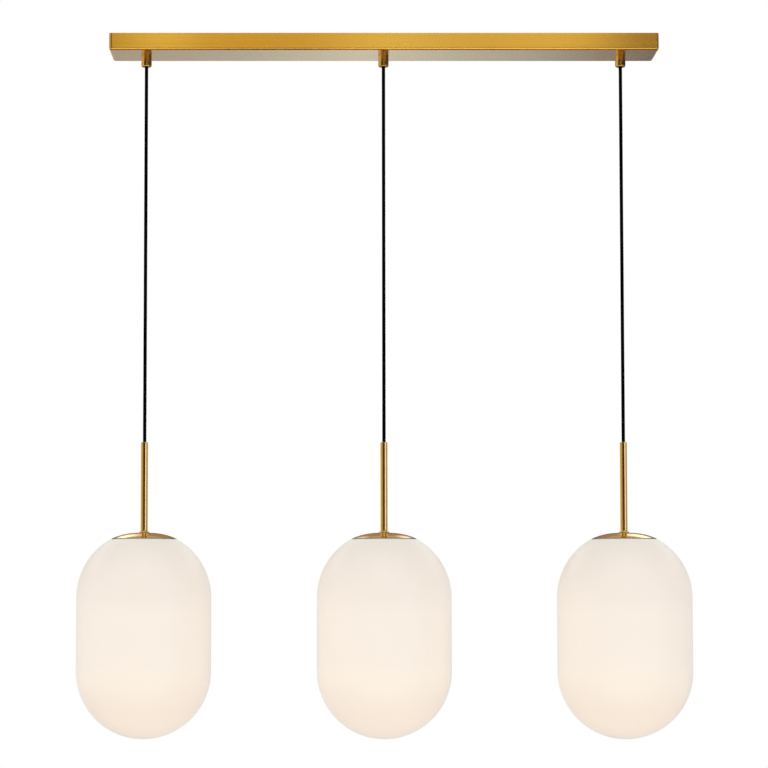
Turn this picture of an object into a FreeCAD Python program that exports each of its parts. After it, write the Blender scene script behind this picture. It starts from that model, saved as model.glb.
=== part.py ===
import FreeCAD, Part
import math
import os

# Linear island pendant: a brass canopy box on the ceiling carries three cords in a row, and
# each cord carries a slim stem, a shallow cap and an opal glass capsule round a screw-in bulb.
# Millimetres. Origin at the middle of the ceiling face, +Z up, +X along the canopy, and -Y is
# the side that is looked at.

Vector = FreeCAD.Vector
x_way = Vector(1, 0, 0)
y_way = Vector(0, 1, 0)
z_way = Vector(0, 0, 1)

# --- canopy: a folded and soldered sheet box, open towards the ceiling ---
canopy_length = 800.0
canopy_depth = 80.0
canopy_height = 25.0
canopy_sheet = 1.2
canopy_corner = 3.0          # outside radius of the upright corners
canopy_bend = 1.2            # outside radius of the lower edges
end_margin = 52.0            # from the canopy's end to the first pendant
pendant_names = ("left", "middle", "right")

# --- bracket that is screwed to the ceiling, inside the canopy ---
bracket_width = 50.0
bracket_sheet = 1.5
bracket_tab = 14.0           # height of the turned-down end tabs
bracket_bend = 2.5           # outside radius of that fold
slot_spacing = 520.0         # between the two ceiling screws
slot_width = 5.0
slot_length = 14.0
supply_hole_x = 100.0        # where the supply cable comes through
supply_hole = 13.0
bush_flange = 3.0            # how far the cable bush reaches past its hole
bush_flange_height = 2.0
bush_bore = 9.0

# --- screws that hold the canopy to the bracket, two at each short end ---
weld_nut_width = 7.0
weld_nut_height = 3.2
grub_diameter = 4.0
grub_spacing = 30.0
grub_drop = 9.0              # screw line below the ceiling
grub_tip_gap = 1.0           # between weld nut and bracket tab

# --- cord grip, one over each pendant ---
grip_diameter = 15.0
grip_length = 17.5           # barrel below the canopy
grip_shank = 9.8             # threaded neck through the canopy
grip_shank_length = 7.0      # from the underside of the canopy up
grip_edge = 2.2              # rounding of the barrel's lower edge
grip_mouth = 0.8             # rounding of the cord's exit
washer_diameter = 15.0
washer_height = 0.8
nut_across = 14.0
nut_height = 3.0
set_screw_diameter = 4.0
set_screw_length = 4.2

# --- cord ---
cord_diameter = 5.0
cord_drop = 552.0            # from grip mouth to stem, as hung
pivot_inset = 0.5            # the cord bends this far inside the grip's mouth
tail_bend = 7.5              # least centre-line radius of the cord inside the canopy

# --- stem ---
stem_diameter = 10.4
stem_bore = 8.2
stem_length = 128.4          # that shows, from its top to its collar
stem_thread = 10.0           # threaded foot through the cap
stem_thread_reach = 8.0      # how far it goes into the lampholder
bush_length = 10.0
collar_diameter = 15.6
collar_height = 3.1
collar_flare = 2.0           # radius of its hollow flare

# --- cap: a spun shallow dome over the glass ---
cap_diameter = 95.0
cap_rise = 8.6
cap_sheet = 1.0
cap_seat = 17.0              # flat seat under the collar

# --- screw gallery under the cap, which carries the glass ---
gallery_sheet = 1.0
gallery_depth = 12.0
lock_nut_height = 3.0

# --- opal glass capsule ---
shade_diameter = 195.0
shade_straight = 106.0       # cylindrical length between its round ends
shade_wall = 3.0
crest_gap = 1.3              # from the cap's rim down to the top of the glass
crest_radius = 3.5
crest_overhang = 0.87        # the middle of the crest stands this far outside the cap's rim
neck_depth = 9.0             # straight part of the turned-in neck
gasket_width = 2.0
gasket_height = 0.7

# --- lampholder and bulb ---
holder_diameter = 39.0
holder_neck = 16.0
holder_neck_height = 5.0
holder_dome = 12.0
holder_height = 57.0
holder_wall = 3.0
holder_lip = 1.2
socket_depth = 27.0
socket_bore = 30.0
screw_shell_bore = 27.4
screw_shell_sheet = 0.5
screw_shell_length = 21.0
contact_diameter = 7.0
contact_height = 1.2
bulb_base_diameter = 26.3
bulb_base_length = 19.0
bulb_tip_diameter = 9.6
bulb_tip_length = 3.0
bulb_diameter = 60.0
bulb_length = 108.0          # from the tip of its base to the end of the globe
bulb_neck = 28.0
bulb_flare = 45.0            # radius of the hollow curve from neck to globe

# --- terminal block and wiring inside the canopy ---
block_x = 180.0
block_length = 22.0
block_width = 26.0
block_height = 12.5
pole_spacing = 8.0
pole_bore = 4.4
terminal_screw = 3.0
terminal_screw_inset = 5.5   # from the block's end faces
core_diameter = 1.4
core_spread = 1.5            # between the cores where they leave their cord
core_length = 22.0           # free length of the cores before the block
upper_lane = 7.6             # depth of a cord's lane below the ceiling
lower_lane = 9.8
earth_screw_inset = 35.0     # from the middle of the ceiling slot to the earth screw
earth_screw_diameter = 4.0
earth_head_diameter = 7.6
earth_head_height = 2.4

# --- clearances ---
thread_gap = 0.05            # between a screw or threaded foot and its hole
press_gap = 0.02             # between pieces pressed into each other
slip_gap = 0.2               # between a cord and what it runs through
running_gap = 0.3            # between pieces that move past each other
glass_gap = 0.35             # between the gallery and the glass neck
seat_gap = 0.1               # between a core and the block that it enters

# --- heights and places that follow ---
floor_z = -canopy_height
floor_top_z = floor_z + canopy_sheet
grip_z = floor_z - grip_length
pivot_z = grip_z + pivot_inset
stem_top_z = grip_z - cord_drop
collar_top_z = stem_top_z - stem_length
cap_z = collar_top_z - collar_height
rim_z = cap_z - cap_rise
cap_radius = cap_diameter / 2
seat_radius = cap_seat / 2
dome_run = cap_radius - seat_radius
dome_radius = (dome_run ** 2 + cap_rise ** 2) / (2 * cap_rise)
dome_centre_z = cap_z - dome_radius

shade_radius = shade_diameter / 2
crest_z = rim_z - crest_gap
crest_centre_z = crest_z - crest_radius
crest_centre_r = cap_radius + crest_overhang
upper_z = crest_centre_z - math.sqrt((shade_radius - crest_radius) ** 2 - crest_centre_r ** 2)
lower_z = upper_z - shade_straight
neck_radius = crest_centre_r - crest_radius
gallery_radius = neck_radius - glass_gap
gallery_z = dome_centre_z + math.sqrt((dome_radius - cap_sheet) ** 2
                                      - (gallery_radius - seat_radius) ** 2)
nut_z = gallery_z - gallery_sheet
holder_z = nut_z - lock_nut_height - seat_gap
holder_bottom_z = holder_z - holder_height
socket_top_z = holder_bottom_z + socket_depth
bulb_tip_z = socket_top_z - screw_shell_sheet - contact_height - running_gap
base_top_z = bulb_tip_z - bulb_tip_length
neck_top_z = base_top_z - bulb_base_length
globe_z = bulb_tip_z - bulb_length + bulb_diameter / 2
screw_line_z = -grub_drop
block_top_z = -bracket_sheet
earth_screw_x = slot_spacing / 2 - earth_screw_inset
pendant_spacing = (canopy_length - 2 * end_margin) / (len(pendant_names) - 1)
pendant_x = {name: (i - 1) * pendant_spacing for i, name in enumerate(pendant_names)}


def point(r, z):
    """A point of a half section, at radius r and height z."""
    return Vector(r, 0, z)


def line(a, b):
    return Part.LineSegment(point(*a), point(*b))


def arc(a, through, b):
    return Part.Arc(point(*a), point(*through), point(*b))


def on_circle(centre, radius, degrees):
    """The point of a circle at an angle from the outward direction, upwards positive."""
    t = math.radians(degrees)
    return (centre[0] + radius * math.cos(t), centre[1] + radius * math.sin(t))


def arc_about(centre, radius, start, end):
    """An arc of a section about a centre, between two angles in degrees."""
    middle = (start + end) / 2
    ends = [on_circle(centre, radius, angle) for angle in (start, middle, end)]
    return arc(*ends)


def turned(segments):
    """A solid turned about the Z axis from the closed outline of its half section."""
    outline = Part.Wire([segment.toShape() for segment in segments])
    return Part.Face(outline).revolve(Vector(0, 0, 0), z_way, 360)


def turned_outline(points):
    """A turned solid whose half section has only straight sides."""
    loop = points + points[:1]
    return turned([line(a, b) for a, b in zip(loop, loop[1:])])


def disc(diameter, bottom, top):
    return Part.makeCylinder(diameter / 2, top - bottom, Vector(0, 0, bottom))


def ring(outer, inner, bottom, top):
    """A flat ring about the Z axis, by diameters."""
    return disc(outer, bottom, top).cut(disc(inner, bottom, top))


def rod(a, b, diameter):
    """A straight round rod from one point to another."""
    way = b - a
    return Part.makeCylinder(diameter / 2, way.Length, a, way)


def box(size, centre_x, centre_y, bottom):
    corner = Vector(centre_x - size[0] / 2, centre_y - size[1] / 2, bottom)
    return Part.makeBox(size[0], size[1], size[2], corner)


def hexagon(across, bore, bottom, top):
    """A hexagon nut about the Z axis."""
    corner = across / math.sqrt(3)
    corners = [Vector(corner * math.cos(math.radians(60 * i + 30)),
                      corner * math.sin(math.radians(60 * i + 30)), bottom) for i in range(7)]
    block = Part.Face(Part.makePolygon(corners)).extrude(Vector(0, 0, top - bottom))
    return block.cut(disc(bore, bottom, top))


def rounded_box(length, depth, corner, bottom, top):
    """A box with round upright corners, centred on the Z axis."""
    body = box((length, depth, top - bottom), 0, 0, bottom)
    upright = [e for e in body.Edges if abs(e.tangentAt(e.FirstParameter).z) > 0.9]
    return body.makeFillet(corner, upright)


def placed(shape, x=0.0, y=0.0):
    copy = shape.copy()
    copy.translate(Vector(x, y, 0))
    return copy


def over_each_pendant(shape):
    """One copy of a root piece over every pendant, as separate solids."""
    return Part.makeCompound([placed(shape, pendant_x[name]) for name in pendant_names])


# --- canopy ---

def end_screw_spots():
    """Each end screw: the side of the canopy that it is on, and its place across."""
    return [(side, y) for side in (-1, 1) for y in (-grub_spacing / 2, grub_spacing / 2)]


def make_canopy():
    outside = rounded_box(canopy_length, canopy_depth, canopy_corner, floor_z, 0)
    lower = [e for e in outside.Edges
             if abs(e.BoundBox.ZMax - floor_z) < 0.01 and abs(e.BoundBox.ZMin - floor_z) < 0.01]
    outside = outside.makeFillet(canopy_bend, lower)
    inside = rounded_box(canopy_length - 2 * canopy_sheet, canopy_depth - 2 * canopy_sheet,
                         canopy_corner - canopy_sheet, floor_top_z, 1)
    shell = outside.cut(inside)
    for x in pendant_x.values():
        shell = shell.cut(placed(disc(grip_shank + 2 * slip_gap, floor_z - 1, floor_top_z + 1), x))
    for side, y in end_screw_spots():
        start = Vector(side * (canopy_length / 2 + 1), y, screw_line_z)
        end = Vector(side * (canopy_length / 2 - canopy_sheet - 1), y, screw_line_z)
        shell = shell.cut(rod(start, end, grub_diameter + 2 * slip_gap))
    return shell


def make_weld_nuts():
    nuts = []
    inner_x = canopy_length / 2 - canopy_sheet
    for side, y in end_screw_spots():
        middle_x = side * (inner_x - weld_nut_height / 2)
        nut = box((weld_nut_height, weld_nut_width, weld_nut_width), middle_x, y,
                  screw_line_z - weld_nut_width / 2)
        bore = rod(Vector(side * inner_x, y, screw_line_z),
                   Vector(side * (inner_x - weld_nut_height), y, screw_line_z),
                   grub_diameter + 2 * thread_gap)
        nuts.append(nut.cut(bore))
    return Part.makeCompound(nuts)


def bracket_end():
    """Outer face of the bracket's end tab."""
    return canopy_length / 2 - canopy_sheet - weld_nut_height - grub_tip_gap


def make_grub_screws():
    """Headless screws, flush with the canopy's ends, pressing on the bracket's tabs."""
    screws = []
    flush_x = canopy_length / 2 - slip_gap
    for side, y in end_screw_spots():
        tip = Vector(side * bracket_end(), y, screw_line_z)
        head = Vector(side * flush_x, y, screw_line_z)
        screw = rod(tip, head, grub_diameter)
        socket = rod(head, Vector(side * (flush_x - grub_diameter / 2), y, screw_line_z),
                     grub_diameter / 2)
        screws.append(screw.cut(socket))
    return Part.makeCompound(screws)


def make_bracket():
    """A strip with turned-down ends, screwed flat to the ceiling."""
    end = bracket_end()
    inner = bracket_bend - bracket_sheet
    corner = (end - bracket_bend, -bracket_bend)
    half = [
        line((0, 0), (end - bracket_bend, 0)),
        arc_about(corner, bracket_bend, 90, 0),
        line((end, -bracket_bend), (end, -bracket_tab)),
        line((end, -bracket_tab), (end - bracket_sheet, -bracket_tab)),
        line((end - bracket_sheet, -bracket_tab), (end - bracket_sheet, -bracket_bend)),
        arc_about(corner, inner, 0, 90),
        line((end - bracket_bend, -bracket_sheet), (0, -bracket_sheet)),
        line((0, -bracket_sheet), (0, 0)),
    ]
    side = Part.Face(Part.Wire([s.toShape() for s in half])).extrude(y_way * bracket_width)
    side.translate(Vector(0, -bracket_width / 2, 0))
    strip = side.fuse(side.mirror(Vector(0, 0, 0), x_way)).removeSplitter()
    for way in (-1, 1):
        strip = strip.cut(slot(way * slot_spacing / 2))
    strip = strip.cut(placed(disc(supply_hole, -bracket_sheet, 0), supply_hole_x))
    return strip.cut(placed(disc(earth_screw_diameter + 2 * thread_gap, -bracket_sheet, 0),
                            earth_screw_x))


def slot(x):
    """The cutter of one ceiling slot, long along the bracket."""
    run = slot_length - slot_width
    middle = box((run, slot_width, bracket_sheet), x, 0, -bracket_sheet)
    ends = [placed(disc(slot_width, -bracket_sheet, 0), x + way * run / 2) for way in (-1, 1)]
    return middle.fuse(ends)


def make_cable_bush():
    """The flanged bush that guards the supply cable at the bracket's edge."""
    body = disc(supply_hole - 2 * press_gap, -bracket_sheet, 0)
    flange = disc(supply_hole + 2 * bush_flange, -bracket_sheet - bush_flange_height,
                  -bracket_sheet)
    bore = disc(bush_bore, -bracket_sheet - bush_flange_height, 0)
    return placed(body.fuse(flange).cut(bore), supply_hole_x)


# --- cord grip ---

def make_grip():
    """A turned barrel with a threaded neck and a bell-mouthed bore for the cord."""
    outer = grip_diameter / 2
    neck = grip_shank / 2
    bore = cord_diameter / 2 + slip_gap
    top = floor_z + grip_shank_length
    body = turned([
        line((bore, top), (neck, top)),
        line((neck, top), (neck, floor_z)),
        line((neck, floor_z), (outer, floor_z)),
        line((outer, floor_z), (outer, grip_z + grip_edge)),
        arc_about((outer - grip_edge, grip_z + grip_edge), grip_edge, 0, -90),
        line((outer - grip_edge, grip_z), (bore + grip_mouth, grip_z)),
        arc_about((bore + grip_mouth, grip_z + grip_mouth), grip_mouth, 270, 180),
        line((bore, grip_z + grip_mouth), (bore, top)),
    ])
    hole = rod(Vector(0, 0, set_screw_z()), Vector(0, grip_diameter, set_screw_z()),
               set_screw_diameter + 2 * thread_gap)
    return body.cut(hole)


def set_screw_z():
    return floor_z - grip_length / 2


def make_set_screw():
    """The headless screw in the grip's back, which clamps the cord."""
    outer = grip_diameter / 2 - slip_gap
    tip = Vector(0, outer - set_screw_length, set_screw_z())
    head = Vector(0, outer, set_screw_z())
    slot_cut = box((set_screw_diameter / 5, set_screw_diameter / 4, set_screw_diameter), 0,
                   outer - set_screw_diameter / 8, set_screw_z() - set_screw_diameter / 2)
    return rod(tip, head, set_screw_diameter).cut(slot_cut)


def make_grip_washer():
    return ring(washer_diameter, grip_shank + 2 * slip_gap, floor_top_z,
                floor_top_z + washer_height)


def make_grip_nut():
    bottom = floor_top_z + washer_height
    return hexagon(nut_across, grip_shank + 2 * thread_gap, bottom, bottom + nut_height)


# --- cords and wiring ---

def rounded_route(points, radii):
    """A path of straight runs with a tangent arc at each inner point."""
    edges = []
    start = points[0]
    for before, here, after, radius in zip(points, points[1:], points[2:], radii):
        arriving = (here - before).normalize()
        leaving = (after - here).normalize()
        turn = arriving.getAngle(leaving)
        back = radius * math.tan(turn / 2)
        first = here - arriving * back
        last = here + leaving * back
        towards = (leaving - arriving).normalize()
        middle = here + towards * (radius / math.cos(turn / 2) - radius)
        edges.append(Part.LineSegment(start, first).toShape())
        edges.append(Part.Arc(first, middle, last).toShape())
        start = last
    edges.append(Part.LineSegment(start, points[-1]).toShape())
    return Part.Wire(edges)


def tube_along(route, diameter, way):
    circle = Part.Circle(route.Vertexes[0].Point, way, diameter / 2)
    return route.makePipeShell([Part.Wire(circle.toShape())], True, True)


def cord_ends():
    """Where each cord ends before the terminal block: its point, and the way it points."""
    near = block_x - block_length / 2 - core_length
    far = block_x + block_length / 2 + core_length
    return {
        "left": (Vector(near, -pole_spacing, -upper_lane), 1),
        "middle": (Vector(near, pole_spacing / 2, -lower_lane), 1),
        "right": (Vector(far, 0, -upper_lane), -1),
    }


def make_cord_tails():
    """Each cord from its grip's mouth up into the canopy and along to the terminal block."""
    start_z = pivot_z + cord_diameter / 2 + running_gap
    tails = []
    for name, (end, way) in cord_ends().items():
        x = pendant_x[name]
        ease = end.x - x
        points = [Vector(x, 0, start_z), Vector(x, 0, end.z)]
        radii = [tail_bend]
        if abs(end.y) > 0:
            points.append(Vector(x + ease / 3, end.y, end.z))
            radii.append(abs(ease) / 3)
        points.append(end)
        route = rounded_route(points, radii)
        tail = tube_along(route, cord_diameter, z_way)
        section = math.pi * (cord_diameter / 2) ** 2
        print("cord tail", name, "length", round(route.Length, 1), "bends", radii,
              "volume over section x length", round(tail.Volume / section / route.Length, 4))
        tails.append(tail)
    return Part.makeCompound(tails)


def make_core_wires(pole):
    """One core of every cord, from the cord's end to its pole of the block.

    It leaves on a slant, so it starts its own radius past the cord's end to stay clear of it.
    """
    wires = []
    for end, way in cord_ends().values():
        start = end + Vector(way * core_diameter / 2, (pole - 1) * core_spread, 0)
        face_x = block_x - way * (block_length / 2 + seat_gap)
        wires.append(rod(start, Vector(face_x, (pole - 1) * pole_spacing, end.z), core_diameter))
    return wires


def make_earth_wires():
    """The earth cores, and the lead from the block to the earth screw on the bracket."""
    face_x = block_x + block_length / 2 + seat_gap
    start = Vector(face_x, pole_spacing, -lower_lane)
    reach = (earth_head_diameter + core_diameter) / 2 + seat_gap
    end = Vector(earth_screw_x, reach, -bracket_sheet - core_diameter)
    return make_core_wires(2) + [rod(start, end, core_diameter)]


def make_earth_screw():
    """A pan head screw from below, with its tip inside the bracket."""
    shank = disc(earth_screw_diameter, -bracket_sheet, 0)
    head = disc(earth_head_diameter, -bracket_sheet - earth_head_height, -bracket_sheet)
    return placed(shank.fuse(head), earth_screw_x)


def pole_places():
    return [(pole - 1) * pole_spacing for pole in range(3)]


def pole_z():
    return -(upper_lane + lower_lane) / 2


def terminal_screw_places():
    reach = block_length / 2 - terminal_screw_inset
    return [(block_x + way * reach, y) for y in pole_places() for way in (-1, 1)]


def make_terminal_block():
    """A moulded block of three poles, with its screws reached from below."""
    bottom = block_top_z - block_height
    body = box((block_length, block_width, block_height), block_x, 0, bottom)
    for y in pole_places():
        start = Vector(block_x - block_length / 2, y, pole_z())
        end = Vector(block_x + block_length / 2, y, pole_z())
        body = body.cut(rod(start, end, pole_bore))
    for x, y in terminal_screw_places():
        body = body.cut(placed(disc(terminal_screw + 2 * slip_gap, bottom, pole_z()), x, y))
    for y in (-pole_spacing / 2, pole_spacing / 2):
        groove = box((block_length, pole_spacing / 8, block_height / 4), block_x, y, bottom)
        body = body.cut(groove)
    return body


def make_terminal_clamps():
    """The brass tube and the two screws of each pole."""
    clamps = []
    bottom = block_top_z - block_height
    inset = block_length / 8
    for y in pole_places():
        start = Vector(block_x - block_length / 2 + inset, y, pole_z())
        end = Vector(block_x + block_length / 2 - inset, y, pole_z())
        tube = rod(start, end, pole_bore - 2 * press_gap).cut(rod(start, end, pole_bore * 0.75))
        for x, screw_y in terminal_screw_places():
            if screw_y == y:
                hole = placed(disc(terminal_screw + 2 * thread_gap, bottom, pole_z()), x, y)
                tube = tube.cut(hole)
        clamps.append(tube)
    screw_bottom = bottom + block_height / 6
    for x, y in terminal_screw_places():
        screw = disc(terminal_screw, screw_bottom, pole_z())
        cut = box((terminal_screw, terminal_screw / 5, terminal_screw / 4), 0, 0, screw_bottom)
        clamps.append(placed(screw.cut(cut), x, y))
    return Part.makeCompound(clamps)


# --- one pendant, about its own axis ---

def make_cord_bend():
    """The bit of cord that bends in the grip's mouth, round about the bending point."""
    return Part.makeSphere(cord_diameter / 2, Vector(0, 0, pivot_z))


def make_cord():
    """The cord from its bend down through the stem into the lampholder."""
    top = pivot_z - cord_diameter / 2 - running_gap
    bottom = holder_z - stem_thread_reach - holder_wall
    cord = disc(cord_diameter, bottom, top)
    section = math.pi * (cord_diameter / 2) ** 2
    print("hanging cord length", round(top - bottom, 1), "free", cord_drop,
          "volume over section x length", round(cord.Volume / section / (top - bottom), 4))
    return cord


def make_stem():
    """A tube with a threaded foot that goes through cap, gallery and lock nut."""
    outer = stem_diameter / 2
    inner = stem_bore / 2
    foot = stem_thread / 2
    bottom = holder_z - stem_thread_reach
    return turned_outline([(inner, stem_top_z), (outer, stem_top_z), (outer, cap_z),
                           (foot, cap_z), (foot, bottom), (inner, bottom)])


def make_stem_bush():
    """The plug in the stem's top that the cord runs through."""
    return ring(stem_bore - 2 * press_gap, cord_diameter + 2 * slip_gap,
                stem_top_z - bush_length, stem_top_z)


def make_collar():
    """The flared collar between stem and cap."""
    bore = stem_diameter / 2 + thread_gap
    foot = collar_diameter / 2
    flare = min(collar_flare, collar_height * 0.8)
    return turned([
        line((bore, collar_top_z), (foot - flare, collar_top_z)),
        arc_about((foot, collar_top_z), flare, 180, 270),
        line((foot, collar_top_z - flare), (foot, cap_z)),
        line((foot, cap_z), (bore, cap_z)),
        line((bore, cap_z), (bore, collar_top_z)),
    ])


def dome_angle(radius, height):
    """Where an arc of the dome stands at a height, in degrees above the outward direction."""
    return math.degrees(math.asin((height - dome_centre_z) / radius))


def make_cap():
    """A spun dome with a flat seat in the middle and a fine edge."""
    hole = stem_thread / 2 + thread_gap
    centre = (seat_radius, dome_centre_z)
    inner = dome_radius - cap_sheet
    outer_end = dome_angle(dome_radius, rim_z)
    inner_end = dome_angle(inner, rim_z)
    return turned([
        line((hole, cap_z), (seat_radius, cap_z)),
        arc_about(centre, dome_radius, 90, outer_end),
        line(on_circle(centre, dome_radius, outer_end), on_circle(centre, inner, inner_end)),
        arc_about(centre, inner, inner_end, 90),
        line((seat_radius, cap_z - cap_sheet), (hole, cap_z - cap_sheet)),
        line((hole, cap_z - cap_sheet), (hole, cap_z)),
    ])


def make_gallery():
    """A pressed cup with a threaded skirt, clamped under the cap."""
    hole = stem_thread / 2 + thread_gap
    inner = gallery_radius - gallery_sheet
    bottom = gallery_z - gallery_depth
    return turned_outline([(hole, gallery_z), (gallery_radius, gallery_z),
                           (gallery_radius, bottom), (inner, bottom),
                           (inner, gallery_z - gallery_sheet), (hole, gallery_z - gallery_sheet)])


def make_lock_nut():
    return hexagon(nut_across, stem_thread + 2 * thread_gap, nut_z - lock_nut_height, nut_z)


def make_gasket():
    """The silicone washer between the cap's rim and the top of the glass."""
    outer = cap_radius - running_gap
    middle = (rim_z + crest_z) / 2
    return ring(2 * outer, 2 * (outer - gasket_width), middle - gasket_height / 2,
                middle + gasket_height / 2)


def make_shade():
    """The blown capsule: two round ends, a straight wall and a neck turned in at the top."""
    outer = shade_radius
    inner = outer - shade_wall
    upper = (0.0, upper_z)
    lower = (0.0, lower_z)
    crest = (crest_centre_r, crest_centre_z)
    leave = math.degrees(math.atan2(crest_centre_z - upper_z, crest_centre_r))
    wall = neck_radius + shade_wall
    lip = shade_wall / 2
    neck_z = crest_centre_z - neck_depth
    meet = math.degrees(math.acos(wall / inner))
    meet_z = upper_z + math.sqrt(inner ** 2 - wall ** 2)
    return turned([
        arc_about(lower, outer, -90, 0),
        line((outer, lower_z), (outer, upper_z)),
        arc_about(upper, outer, 0, leave),
        arc_about(crest, crest_radius, leave, 180),
        line((neck_radius, crest_centre_z), (neck_radius, neck_z)),
        arc_about((neck_radius + lip, neck_z), lip, 180, 360),
        line((wall, neck_z), (wall, meet_z)),
        arc_about(upper, inner, meet, 0),
        line((inner, upper_z), (inner, lower_z)),
        arc_about(lower, inner, 0, -90),
        line((0, lower_z - inner), (0, lower_z - outer)),
    ])


def make_holder():
    """The moulded lampholder: domed top with the cord's chamber, and the socket below."""
    outer = holder_diameter / 2
    neck = holder_neck / 2
    thread = stem_thread / 2 + thread_gap
    chamber_top = holder_z - stem_thread_reach
    chamber = outer - holder_wall
    partition_top = socket_top_z + holder_wall
    socket = socket_bore / 2
    dome_z = holder_z - holder_neck_height
    shoulder_z = dome_z - holder_dome
    run = outer - neck
    lift = (run ** 2 + holder_dome ** 2) / (2 * run)
    angle = math.degrees(math.asin(holder_dome / lift))
    lip = outer + holder_lip
    body = turned([
        line((thread, holder_z), (neck, holder_z)),
        line((neck, holder_z), (neck, dome_z)),
        arc_about((outer - lift, shoulder_z), lift, angle, 0),
        line((outer, shoulder_z), (outer, holder_bottom_z + holder_wall)),
        line((outer, holder_bottom_z + holder_wall), (lip, holder_bottom_z + holder_wall)),
        line((lip, holder_bottom_z + holder_wall), (lip, holder_bottom_z)),
        line((lip, holder_bottom_z), (socket, holder_bottom_z)),
        line((socket, holder_bottom_z), (socket, socket_top_z)),
        line((socket, socket_top_z), (0, socket_top_z)),
        line((0, socket_top_z), (0, partition_top)),
        line((0, partition_top), (chamber, partition_top)),
        line((chamber, partition_top), (chamber, shoulder_z)),
        line((chamber, shoulder_z), (neck, chamber_top)),
        line((neck, chamber_top), (thread, chamber_top)),
        line((thread, chamber_top), (thread, holder_z)),
    ])
    return body


def make_screw_shell():
    """The screw shell and the centre contact of the socket, as two pieces of metal."""
    inner = screw_shell_bore / 2
    outer = inner + screw_shell_sheet
    bottom = socket_top_z - screw_shell_length
    hole = contact_diameter / 2 + 2 * screw_shell_sheet
    under = socket_top_z - screw_shell_sheet
    shell = turned_outline([(hole, socket_top_z), (outer, socket_top_z), (outer, bottom),
                            (inner, bottom), (inner, under), (hole, under)])
    contact = disc(contact_diameter, under - contact_height, socket_top_z)
    return Part.makeCompound([shell, contact])


def make_bulb_base():
    """The screw base of the bulb, with its tip."""
    shell = bulb_base_diameter / 2
    tip = bulb_tip_diameter / 2
    return turned_outline([(0, bulb_tip_z), (tip, bulb_tip_z), (shell, base_top_z),
                           (shell, neck_top_z), (0, neck_top_z)])


def make_bulb_globe():
    """The frosted bulb: a neck that flares into a round globe."""
    globe = bulb_diameter / 2
    neck = bulb_neck / 2
    away = neck + bulb_flare
    rise = math.sqrt((globe + bulb_flare) ** 2 - away ** 2)
    lean = math.degrees(math.atan2(rise, away))
    flare_z = globe_z + rise
    return turned([
        arc_about((0.0, globe_z), globe, -90, lean),
        arc_about((away, flare_z), bulb_flare, 180 + lean, 180),
        line((neck, flare_z), (neck, neck_top_z)),
        line((neck, neck_top_z), (0, neck_top_z)),
        line((0, neck_top_z), (0, globe_z - globe)),
    ])


# --- every piece under its name ---

def root_pieces():
    pieces = {
        "canopy_shell": make_canopy(),
        "mounting_bracket": make_bracket(),
        "weld_nuts": make_weld_nuts(),
        "grub_screws": make_grub_screws(),
        "cable_bush": make_cable_bush(),
        "terminal_block": make_terminal_block(),
        "terminal_clamps": make_terminal_clamps(),
        "earth_screw": make_earth_screw(),
        "cord_tails": make_cord_tails(),
        "wires_live": Part.makeCompound(make_core_wires(0)),
        "wires_neutral": Part.makeCompound(make_core_wires(1)),
        "wires_earth": Part.makeCompound(make_earth_wires()),
        "grip_washers": over_each_pendant(make_grip_washer()),
        "grip_nuts": over_each_pendant(make_grip_nut()),
        "grip_set_screws": over_each_pendant(make_set_screw()),
    }
    return pieces


def pendant_pieces():
    return {
        "cord_grip": make_grip(),
        "cord_bend": make_cord_bend(),
        "cord": make_cord(),
        "stem": make_stem(),
        "stem_bush": make_stem_bush(),
        "stem_collar": make_collar(),
        "cap": make_cap(),
        "gallery": make_gallery(),
        "lock_nut": make_lock_nut(),
        "gasket": make_gasket(),
        "shade": make_shade(),
        "lampholder": make_holder(),
        "screw_shell": make_screw_shell(),
        "bulb_base": make_bulb_base(),
        "bulb_globe": make_bulb_globe(),
    }


def main():
    os.makedirs("parts", exist_ok=True)
    pieces = root_pieces()
    for piece, shape in pendant_pieces().items():
        for name in pendant_names:
            pieces[piece + "_" + name] = placed(shape, pendant_x[name])
    for name, shape in pieces.items():
        if not shape.isValid():
            print("not valid:", name)
        shape.exportStep("parts/" + name + ".step")
    print(len(pieces), "pieces, bend of the cord at", pivot_z, "ceiling to glass",
          round(shade_radius - lower_z, 1))
    print("neck radius", round(neck_radius, 2), "gallery radius", round(gallery_radius, 2),
          "gallery top", round(gallery_z, 2), "holder", round(holder_z, 2),
          round(holder_bottom_z, 2), "bulb end", round(globe_z - bulb_diameter / 2, 2))


main()
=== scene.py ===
import math

import bmesh
import bpy
import numpy as np
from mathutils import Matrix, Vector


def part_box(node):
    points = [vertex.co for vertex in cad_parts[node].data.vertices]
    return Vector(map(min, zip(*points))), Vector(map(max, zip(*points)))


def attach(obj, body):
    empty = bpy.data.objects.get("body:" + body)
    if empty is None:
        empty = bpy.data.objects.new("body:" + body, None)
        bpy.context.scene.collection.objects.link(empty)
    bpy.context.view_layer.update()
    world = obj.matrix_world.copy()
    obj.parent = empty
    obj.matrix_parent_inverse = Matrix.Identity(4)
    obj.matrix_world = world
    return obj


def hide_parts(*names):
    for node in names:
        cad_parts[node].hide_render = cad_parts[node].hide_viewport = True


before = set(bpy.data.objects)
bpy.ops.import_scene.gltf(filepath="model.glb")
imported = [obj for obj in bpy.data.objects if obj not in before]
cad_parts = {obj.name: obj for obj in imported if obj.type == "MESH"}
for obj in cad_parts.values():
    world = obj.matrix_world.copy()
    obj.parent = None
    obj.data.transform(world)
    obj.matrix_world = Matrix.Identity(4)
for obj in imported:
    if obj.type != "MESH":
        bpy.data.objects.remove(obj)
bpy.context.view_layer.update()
print("frame loaded:", len(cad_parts), "pieces")

mm = 0.001
sides = ("left", "middle", "right")


# a turned CAD piece: its top, bottom and radius in millimetres
def turnedSize(node):
    low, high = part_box(node)
    return high[2] / mm, low[2] / mm, (high[0] - low[0]) / 2 / mm


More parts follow.
